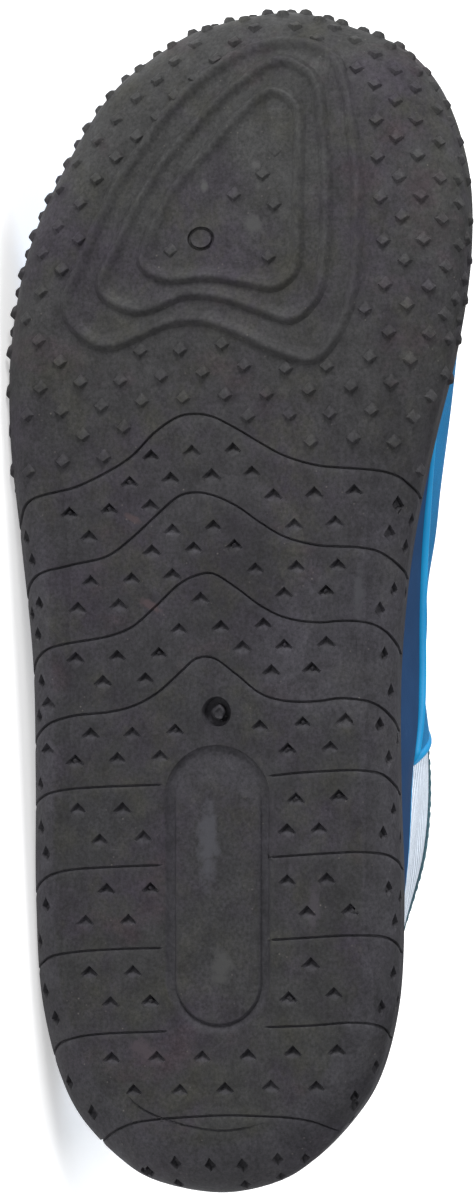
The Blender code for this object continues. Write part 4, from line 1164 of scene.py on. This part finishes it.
# Patches of tint: noise scale, detail, roughness and stretch, start and end of the ramp, strength, colour
TINTS = (
    (38.0, 4.0, 0.65, None, 0.47, 0.66, 0.8, (0.030, 0.0255, 0.0345)),
    (57.0, 5.0, 0.7, (1.0, 1.2, 1.0), 0.50, 0.68, 0.75, (0.033, 0.0325, 0.026)),
    (43.0, 5.0, 0.65, (1.0, 0.7, 1.0), 0.58, 0.70, 0.7, (0.037, 0.027, 0.031)),
)
EDGE_TINT = (0.0355, 0.0340, 0.0400)
SCRATCH = (0.100, 0.098, 0.104)
SPECK = (0.12, 0.11, 0.10)


def make_rubber():
    """Worn black rubber: mottled tints, broad darker and paler patches, paler strips painted along both walls
    as light, scuffs, specks and fine scratches.
    """
    paint = Paint("worn_rubber", 0.66, specular=0.18)
    place = paint.split(paint.where)
    along = paint.math("DIVIDE", place[0], LENGTH)
    tone = paint.ramp(along, *RUBBER_TONES)
    for scale, detail, rough, stretch, low, high, strength, colour in TINTS:
        patches = paint.noise(scale, detail, rough, stretch)
        tone = paint.mix(paint.ramp(patches, (low, 0.0), (high, strength)), tone, colour)
    turned = paint.ramp(paint.math("MULTIPLY", place[2], 100.0), (0.012, 0.0), (0.040, 0.65))
    rear = paint.ramp(along, (0.56, 1.0), (0.64, 0.0))
    tone = paint.mix(paint.times(turned, rear), tone, EDGE_TINT)
    # Broad patches multiplied in: darker or paler tone, and along both walls paler strips that are painted
    # light.
    for centre, size, level in PATCHES_AND_PAINTED_WALL_LIGHT:
        far = paint.far_from(centre, (*size, 0.1))
        far = paint.math("ADD", far, paint.math("MULTIPLY", paint.noise(60.0), 0.5))
        tone = paint.times(tone, paint.ramp(far, (0.5, level), (1.0, 0.5 * level + 0.5), (1.7, 1.0)))
    tone = paint.times(tone, paint.ramp(paint.noise(170.0, 6.0, 0.72), (0.31, 0.66), (0.69, 1.24)))
    tone = paint.times(tone, paint.ramp(paint.noise(1100.0, 3.0, 0.7), (0.33, 0.68), (0.67, 1.28)))
    for centre, size, stretch, colour in SCUFFS:
        far = paint.far_from(centre, (size * stretch[0], size * stretch[1], 0.05), stretch[2])
        far = paint.math("ADD", far, paint.math("MULTIPLY", paint.noise(330.0, 5.0, 0.7), 1.1))
        tone = paint.mix(paint.ramp(far, (0.75, 0.85), (1.5, 0.0)), tone, colour)
    for scale, stretch, low in ((90.0, (9.0, 1.2, 1.0), 0.63), (110.0, (1.1, 11.0, 1.0), 0.66)):
        marks = paint.ramp(paint.noise(scale, 8.0, 0.75, stretch), (low, 0.0), (low + 0.09, 0.26))
        tone = paint.mix(marks, tone, SCRATCH)
    speck = paint.node("TexVoronoi", (("Scale", 520.0), ("Vector", paint.where))).outputs["Distance"]
    some = paint.ramp(paint.noise(120.0, 2.0), (0.55, 0.0), (0.66, 0.6))
    tone = paint.mix(paint.times(paint.ramp(speck, (0.05, 1.0), (0.15, 0.0)), some), tone, SPECK)
    paint.colour(tone)
    rough = paint.ramp(paint.noise(75.0, 5.0), (0.30, 0.56), (0.72, 0.78))
    paint.links.new(rough, paint.shader.inputs["Roughness"])
    fine = paint.bump(paint.noise(1500.0, 3.0, 0.6), 0.00010, 0.55)
    paint.bump(paint.noise(230.0, 4.0, 0.6), 0.00040, 0.5, fine)
    return paint.material


def fabric(name, colour, dark, kind, period, roughness, sheen, distance=0.00012, mottle=0.10, space="cloth"):
    """Cloth with ribs, knit stitches or a holed mesh of the given spacing."""
    paint = Paint(name, roughness, sheen=sheen, specular=0.18)
    cloth = paint.attribute(space)
    wobble = paint.node("TexNoise", (("Scale", 220.0), ("Vector", cloth))).outputs["Color"]
    inputs = ((0, wobble), (1, (0.25 * period, 0.25 * period, 0.0)), (2, cloth))
    x, y, _ = paint.split(paint.node("VectorMath", inputs, operation="MULTIPLY_ADD").outputs[0])
    turn = 2 * math.pi / period

    def wave(socket, factor, phase=None):
        angle = paint.math("MULTIPLY", socket, turn * factor)
        if phase is not None:
            angle = paint.math("ADD", angle, phase)
        return paint.math("MULTIPLY_ADD", paint.math("SINE", angle), 0.5, 0.5)

    low, high = 0.12, 0.72
    if kind == "mesh":
        low, high = 0.30, 0.92
        cross = paint.math("SUBTRACT", 1.0, paint.math("MULTIPLY", wave(x, 1.0), wave(y, 1.0)))
    elif kind == "rib":
        cross = paint.math("MULTIPLY_ADD", wave(x, 0.5), 0.35, paint.math("MULTIPLY", wave(y, 1.0), 0.65))
    else:
        lean = paint.math("MULTIPLY", wave(x, 1.0), 2.2)
        rows = paint.math("MULTIPLY", wave(y, 1.3, lean), 0.55)
        cross = paint.math("MULTIPLY_ADD", wave(x, 1.0), 0.45, rows)
    tone = paint.ramp(cross, (low, dark), (high, colour))
    tone = paint.times(tone, paint.ramp(paint.noise(60.0), (0.25, 1 - mottle), (0.75, 1 + mottle)))
    tone = paint.times(tone, paint.ramp(paint.noise(1400.0, 3.0, 0.7), (0.30, 0.90), (0.70, 1.10)))
    paint.colour(tone)
    paint.bump(cross, distance, 0.8)
    return paint.material


def smooth_film(name, colour, dark, roughness, coat, specular=0.3):
    """Smooth coated overlay with a faint grain."""
    paint = Paint(name, roughness, coat=coat, specular=specular)
    tone = paint.ramp(paint.noise(45.0, 5.0, 0.6), (0.30, dark), (0.72, colour))
    scuff = paint.ramp(paint.noise(200.0, 6.0, 0.7, (1.0, 4.0, 1.0)), (0.62, 0.0), (0.75, 0.25))
    paint.colour(paint.mix(scuff, tone, tuple(min(1.0, c * 1.5 + 0.03) for c in colour)))
    paint.bump(paint.noise(1500.0, 3.0), 0.00008, 0.6)
    return paint.material


RUBBER = make_rubber()
NAVY = smooth_film("navy_overlay", (0.011, 0.050, 0.135), (0.006, 0.033, 0.095), 0.62, 0.0, 0.18)
BLUE_TRIM = smooth_film("bright_blue_trim", (0.006, 0.330, 0.660), (0.003, 0.240, 0.530), 0.42, 0.12, 0.22)
THREAD_TEAL = smooth_film("thread_teal", (0.090, 0.210, 0.250), (0.050, 0.140, 0.170), 0.6, 0.1)
BLUE = fabric(
    "bright_blue_knit", (0.004, 0.190, 0.425), (0.003, 0.130, 0.320), "knit", 0.00085, 0.8, 0.03, mottle=0.16)
WHITE = fabric("white_mesh", (0.80, 0.88, 0.97), (0.17, 0.21, 0.30), "mesh", 0.00150, 0.9, 0.05, 0.00022)
TEAL = fabric("teal_binding", (0.040, 0.115, 0.145), (0.016, 0.055, 0.075), "rib", 0.00065, 0.75, 0.15)
LINING = fabric("lining_knit", (0.030, 0.052, 0.090), (0.013, 0.024, 0.045), "knit", 0.0011, 0.9, 0.2)
FOOTBED = fabric(
    "footbed_cloth", (0.050, 0.062, 0.085), (0.024, 0.030, 0.042), "mesh", 0.0014, 0.95, 0.25, 0.00030,
    space="shoe")


# The upper
def under_binding(station, tuck):
    """Share of the lines that lies under the binding's lower edge by tuck."""
    return 1 - (BINDING_WIDTH - tuck) / span_at(station)


def make_shell():
    """Hollow shell: outer mesh cloth, inner lining, joined at the lower edge and the collar."""
    stations = np.arange(0, N, 2)
    top = under_binding(stations, 0.0004)
    shares = np.linspace(0, 1, 46)
    count = len(stations)
    outer = [ring_at(CUP_INSET, FLOOR + GAP)[stations]]
    outer += [on_upper(stations, top * s) for s in shares]
    inner = [ring_at(CUP_INSET + FABRIC, FLOOR + GAP)[stations]]
    inner += [ring_at(RIM_LEAN + RIM_THICK + GAP + FABRIC, RIM + 0.0005)[stations]]
    inner += [on_upper(stations, top * s, -FABRIC) for s in shares[1:]]
    rings = outer + inner[::-1]
    near = [np.zeros(count)] + [top * s for s in shares]
    far = [np.zeros(count), np.zeros(count)] + [top * s for s in shares[1:]]
    cloth = np.vstack([cloth_place(stations, s) for s in near + far[::-1]])
    faces = ring_faces(len(rings), count)
    item = new_object("upper_shell", np.vstack(rings), faces, [WHITE, LINING], cloth=cloth)
    lined = (len(outer) - 1) * count
    item.data.polygons.foreach_set("material_index", [int(k >= lined) for k in range(len(faces))])
    return item


def sheet_patch(name, stations, low, high, offset, thick, material, rows=14, edge=0.0004):
    """A closed thin overlay between two share limits along a run of stations."""
    stations = np.asarray(stations, float)
    outer, inner = [], []
    for t in np.linspace(0, 1, rows):
        share = low + (high - low) * t
        rim = min(t, 1 - t) * np.max((high - low) * span_at(stations))
        drop = thick * 0.55 * max(0.0, 1 - rim / edge) if edge else 0.0
        outer.append(on_upper(stations, share, offset + thick - drop))
        inner.append(on_upper(stations, share, offset * 0.3))
    count, total = len(stations), 2 * rows
    faces = ring_faces(total, count, closed=False)
    for k in (0, count - 1):
        for r in range(rows - 1):
            ends = (r, r + 1, total - 2 - r, total - 1 - r)
            faces.append(tuple(end * count + k for end in ends))
    return new_object(name, np.vstack(outer + inner[::-1]), faces, material)


def tube_on_upper(name, stations, share, half, rise, base, material, sides=9, taper=6, slim_to=None):
    """Raised half-round trim along a line on the upper."""
    stations, share = np.asarray(stations, float), np.asarray(share, float)
    centre = on_upper(stations, share, 0.0)
    normal = on_upper(stations, share, 1.0) - centre
    along = np.gradient(centre, axis=0)
    along /= np.linalg.norm(along, axis=1)[:, None]
    side = np.cross(normal, along)
    side /= np.linalg.norm(side, axis=1)[:, None]
    count = len(stations)
    k = np.arange(count)
    slim = np.sqrt(np.clip(np.minimum(k + 0.35, count - 0.65 - k) / taper, 0.03, 1.0))
    if slim_to:
        start, end, least = slim_to
        slim = slim * (1 - (1 - least) * smooth_step((share_of_length(stations) - start) / (end - start)))

    def line(across, out):
        return centre + side * (half * across * slim)[:, None] + normal * np.reshape(out, (-1, 1))

    lines = [line(math.cos(a), base + rise * math.sin(a) * slim) for a in np.linspace(0, math.pi, sides)]
    lines += [line(-0.6, base * 0.4), line(0.6, base * 0.4)]
    faces = ring_faces(len(lines), count, closed=False)
    for end in (0, count - 1):
        faces.append(tuple(r * count + end for r in range(len(lines))))
    return new_object(name, np.vstack(lines), faces, material)


# One stitch: place along it, height and fullness, as shares
STITCH = ((-0.5, 0.15, 0.55), (-0.3, 0.85, 1.0), (0.0, 1.0, 1.0), (0.3, 0.85, 1.0), (0.5, 0.15, 0.55))


def stitches(name, stations, share, material, lift, pitch, length, radius, sides=6):
    """A run of small threads laid along a line on the upper."""
    centre = on_upper(stations, share, 0.0)
    lifted = on_upper(stations, share, 1.0)
    reach = line_reach(centre)
    one = ring_faces(len(STITCH), sides, wrap=False)
    one += [tuple(range(sides)), tuple(range((len(STITCH) - 1) * sides, len(STITCH) * sides))]
    points, faces = [], []
    for at in np.arange(pitch, reach[-1] - pitch, pitch):
        faces += [tuple(len(points) + k for k in face) for face in one]
        ends = []
        for shift, height, size in STITCH:
            here = at + shift * length
            p = places_at(centre, reach, here)
            n = places_at(lifted, reach, here) - p
            ends.append((p + n * (lift + radius * (height - 0.4)), n / np.linalg.norm(n), size))
        way = ends[-1][0] - ends[0][0]
        way /= np.linalg.norm(way)
        for p, n, size in ends:
            side = np.cross(way, n)
            for s in range(sides):
                a = 2 * math.pi * s / sides
                points.append(p + (side * math.cos(a) + n * math.sin(a)) * radius * size)
    return new_object(name, np.array(points), faces, material)


def make_binding():
    """Folded tape round the collar, fuller in the middle, with a fine wrinkled edge."""
    stations = np.arange(N)
    wrinkle = 1 + 0.05 * np.sin(stations * 0.35) + 0.02 * np.sin(stations * 0.93 + 1.3)
    swell = 0.0007
    profile = []
    for t in np.linspace(0, 1, 9)[:-1]:
        full = math.sin(math.pi * min(1.0, t * 0.9 + 0.08))
        profile.append((BINDING_WIDTH * (1 - t), swell * (0.25 + 0.9 * full)))
    rings = [on_upper(stations, 1 - reach / SPAN, out * wrinkle) for reach, out in profile]
    edge = 1 - 0.0006 / SPAN
    half = 0.5 * FABRIC + swell * 0.5
    middle = on_upper(stations, edge, -0.5 * FABRIC)
    out = on_upper(stations, edge, 1.0) - on_upper(stations, edge, 0.0)
    up = GRID[:, -1] - GRID[:, -4]
    up /= np.linalg.norm(up, axis=1)[:, None]
    for angle in math.pi * np.linspace(0.12, 0.88, 6):
        rings.append(middle + out * (half * math.cos(angle)) + up * (0.0012 * math.sin(angle)))
    rings += [on_upper(stations, 1 - reach / SPAN, -FABRIC - out * wrinkle) for reach, out in profile[::-1]]
    along = cloth_place(stations, np.ones(N))
    cloth = np.vstack([along + np.array((0.0, 0.0007 * r, 0.0)) for r in range(len(rings))])
    return new_object("collar_tape", np.vstack(rings), ring_faces(len(rings), N), TEAL, cloth=cloth)


def make_insole():
    """Thin foot bed with a crowned edge and a top that dips a little across its width."""
    rings = []
    inset = CUP_INSET + FABRIC + GAP + 0.0003
    for more, height in ((0.0, -INSOLE_THICK), (0.0, -0.0008), (0.0003, -0.0003), (0.0010, 0.0)):
        rings.append(ring_at(inset + more, FLOOR + GAP + INSOLE_THICK + height))
    points = list(np.vstack(rings))
    faces = ring_faces(len(rings), N, wrap=False) + across_faces(0)
    top = rings[-1]
    first = (len(rings) - 1) * N
    cols = 13
    extra = {}
    for k in range(1, HALF):
        a, b = top[k], top[(N - k) % N]
        for j in range(1, cols):
            t = j / cols
            p = a * (1 - t) + b * t
            p[2] = spring(p[0]) + FLOOR + GAP + INSOLE_THICK - 0.0006 * math.sin(math.pi * t)
            extra[k, j] = len(points)
            points.append(p)

    def at(k, j):
        if k <= 0:
            return first
        if k >= HALF:
            return first + HALF
        if j == 0:
            return first + k
        if j == cols:
            return first + (N - k) % N
        return extra[k, j]

    for k in range(HALF):
        for j in range(cols):
            quad = (at(k, j), at(k + 1, j), at(k + 1, j + 1), at(k, j + 1))
            quad = tuple(dict.fromkeys(quad))
            if len(quad) > 2:
                faces.append(quad)
    bed = new_object("foot_bed", np.array(points), faces, FOOTBED)
    return bed


def band_top(share):
    """Height of the side band up the lines at a share of the length."""
    return blend(share, BAND, 1)


def side_run(inner, start_share, end_share, count):
    """Stations along one side between two shares of the length."""
    return np.linspace(station_of(start_share, inner), station_of(end_share, inner), count)


def share_of_length(station):
    return np.interp(np.asarray(station) % N, np.arange(N + 1), np.append(SHARE, SHARE[0]))


def vamp_edge(inner):
    """Rear edge of the bright blue front panel: from the band's top up to the collar front."""
    foot, head = station_of(VAMP_FOOT, inner), station_of(VAMP_HEAD, inner)
    base = float(reach_share(foot, band_top(VAMP_FOOT) + 0.0010))
    t = np.linspace(0, 1, 60)
    stations = foot + (head - foot) * (t ** 1.25)
    shares = base + (1.0 - base) * (t ** 0.9)
    return stations, np.clip(shares, 0, 1)


def make_vamp():
    """Bright blue stretch panel over the front, ending at its rear edge on both sides."""
    rows, cols, tuck = 60, 260, 0.0005
    shares = np.linspace(0, 1, rows)
    limits = []
    for inner in (True, False):
        stations, heights = vamp_edge(inner)
        heights = heights / under_binding(stations, tuck)
        limit = np.interp(shares, heights, stations)
        limit[shares < heights[0]] = station_of(VAMP_FOOT, inner)
        limits.append(limit - N if inner else limit)
    points, cloth = [], []
    for offset in (0.00055, 0.0001):
        for share, a, b in zip(shares, *limits):
            stations = np.linspace(a, b, cols)
            at = share * under_binding(stations, tuck)
            points.append(on_upper(stations, at, offset))
            cloth.append(cloth_place(stations % N, at))
    count = rows * cols
    corners = [r * cols + c for r in range(rows - 1) for c in range(cols - 1)]
    faces = [(a, a + cols, a + cols + 1, a + 1) for a in corners]
    faces += [tuple(k + count for k in face[::-1]) for face in faces]
    rims = [(r * cols + c, cols) for r in range(rows - 1) for c in (0, cols - 1)]
    rims += [(r * cols + c, 1) for c in range(cols - 1) for r in (0, rows - 1)]
    faces += [(a, a + step, a + step + count, a + count) for a, step in rims]
    return new_object("vamp_panel", np.vstack(points), faces, BLUE, cloth=np.vstack(cloth))


def build_upper():
    """Every piece of the upper, its foot bed and its trims."""
    made = [make_shell(), make_vamp(), make_binding(), make_insole()]
    for inner, side in ((True, "medial"), (False, "lateral")):
        run = side_run(inner, 0.236, 0.648, 160)
        top = band_top(share_of_length(run))
        low = reach_share(run, 0.0006)
        high = reach_share(run, np.maximum(top, 0.0010))
        band = sheet_patch("side_band_" + side + "_film", run, low, high, 0.0006, 0.0006, NAVY)
        run = side_run(inner, VAMP_FOOT, 0.649, 150)
        top = band_top(share_of_length(run)) + 0.0016
        trim = tube_on_upper("piping_" + side + "_tube", run, reach_share(run, top), 0.0016, 0.0017, 0.0006,
                             BLUE_TRIM, slim_to=(0.56, 0.66, 0.4))
        stations, shares = vamp_edge(inner)
        shares = np.minimum(shares, under_binding(stations, -0.0006))
        seam = tube_on_upper("vamp_seam_" + side, stations, shares, 0.0011, 0.0009, 0.0002, BLUE_TRIM)
        run = side_run(inner, 0.240, 0.378, 90)
        top = reach_share(run, band_top(share_of_length(run)) + 0.0004)
        thread = tube_on_upper("band_cord_" + side, run, top, 0.00055, 0.0006, 0.0004, BLUE_TRIM)
        made += [band, trim, seam, thread]
    stations = np.arange(0, N + 1, 1.0)
    made.append(stitches("binding_stitch", stations, under_binding(stations, 0.0011), THREAD_TEAL,
                         lift=0.0006, pitch=0.0026, length=0.0018, radius=0.00017))
    heel = np.full(70, float(HALF))
    shares = np.linspace(0.0, under_binding(HALF, 0.0004), 70)
    made.append(tube_on_upper("heel_seam", heel, shares, 0.0052, 0.0007, 0.0003, NAVY, taper=0.6))
    return made


# Studio
LIGHTS = (  # name, place, height aimed at, width, depth, power
    ("key", (-1.75, -1.0, 0.55), 0.05, 0.55, 0.55, 40.0),
    ("front", (0.2, -1.9, 0.9), 0.05, 1.4, 1.2, 2.0),
    ("top", (0.0, -0.35, 2.0), 0.0, 1.8, 1.8, 30.0),
    ("back", (-1.2, 1.1, 1.3), 0.05, 0.35, 0.35, 11.0),
)


def make_studio():
    """Pale floor, faint sky and four lamps."""
    world = bpy.data.worlds.new("studio")
    bpy.context.scene.world = world
    world.use_nodes = True
    back = world.node_tree.nodes["Background"]
    back.inputs["Color"].default_value = (0.93, 0.95, 1.0, 1.0)
    back.inputs["Strength"].default_value = 0.27
    mesh = bpy.data.meshes.new("floor")
    size = 12.0
    corners = [(-size, -size, 0), (size, -size, 0), (size, size, 0), (-size, size, 0)]
    mesh.from_pydata(corners, [], [(0, 1, 2, 3)])
    floor = placed("floor", mesh)
    material = bpy.data.materials.new("pale_floor")
    material.use_nodes = True
    shader = material.node_tree.nodes["Principled BSDF"]
    shader.inputs["Base Color"].default_value = (0.95, 0.95, 0.95, 1)
    shader.inputs["Emission Color"].default_value = (1.0, 1.0, 1.0, 1)
    shader.inputs["Emission Strength"].default_value = 0.45
    shader.inputs["Roughness"].default_value = 0.9
    mesh.materials.append(material)
    for name, place, aim, width, depth, power in LIGHTS:
        data = bpy.data.lights.new(name, "AREA")
        data.shape = "RECTANGLE"
        data.size, data.size_y = width, depth
        data.energy = power
        item = placed(name, data)
        item.location = place
        item.rotation_euler = (Vector((0, 0, aim)) - Vector(place)).to_track_quat("-Z", "Y").to_euler()


CAMERA_DISTANCE = 2.0
CAMERA_TILT = 15.46      # towards the inner side
CAMERA_PITCH = -1.83     # towards the heel
CAMERA_ROLL = 0.13
CAMERA_TARGET = (0.1429, 0.00628, 0.008)
FIELD = 0.28778          # length across the picture's long side at the target


def make_camera():
    """The photo's camera, aimed at the tread in the shoe's own coordinates."""
    tilt, pitch = math.radians(CAMERA_TILT), math.radians(CAMERA_PITCH)
    away = Vector((-math.sin(pitch), math.sin(tilt) * math.cos(pitch), -math.cos(tilt) * math.cos(pitch)))
    turn = TO_ROW.to_3x3()
    target = TO_ROW @ Vector(CAMERA_TARGET)
    backward = (turn @ away).normalized()
    up = turn @ Vector((1, 0, 0))
    up = (up - backward * up.dot(backward)).normalized()
    right = up.cross(backward)
    roll = math.radians(CAMERA_ROLL)
    up, right = up * math.cos(roll) + right * math.sin(roll), right * math.cos(roll) - up * math.sin(roll)
    data = bpy.data.cameras.new("camera")
    data.sensor_fit = "AUTO"
    data.sensor_width = 36.0
    data.lens = 36.0 * CAMERA_DISTANCE / FIELD
    data.clip_start, data.clip_end = 0.05, 50.0
    item = placed("camera", data)
    pose = Matrix((right, up, backward)).transposed().to_4x4()
    item.matrix_world = Matrix.Translation(target + backward * CAMERA_DISTANCE) @ pose
    bpy.context.scene.camera = item


# Each piece with the CAD node that it replaces and its slot
STANDS_FOR = {
    "outsole_rubber": ("outsole", "outsole"),
    "tread_studs": (None, "outsole"),
    "upper_shell": ("upper", "upper"),
    "vamp_panel": (None, "upper"),
    "collar_tape": ("collar_binding", "collar_binding"),
    "foot_bed": ("insole", "insole"),
    "side_band_medial_film": ("side_band_medial", "side_band"),
    "side_band_lateral_film": ("side_band_lateral", "side_band"),
    "piping_medial_tube": ("piping_medial", "piping"),
    "piping_lateral_tube": ("piping_lateral", "piping"),
    "vamp_seam_medial": (None, "piping"),
    "vamp_seam_lateral": (None, "piping"),
    "band_cord_medial": (None, "piping"),
    "band_cord_lateral": (None, "piping"),
    "binding_stitch": (None, "collar_binding"),
    "heel_seam": (None, "side_band"),
}


def main():
    for piece in [make_outsole(), make_studs()] + build_upper():
        node, slot = STANDS_FOR[piece.name]
        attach(piece, "root")
        if node:
            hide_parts(node)
    make_studio()
    make_camera()
    bpy.context.scene.view_settings.view_transform = "Standard"


main()
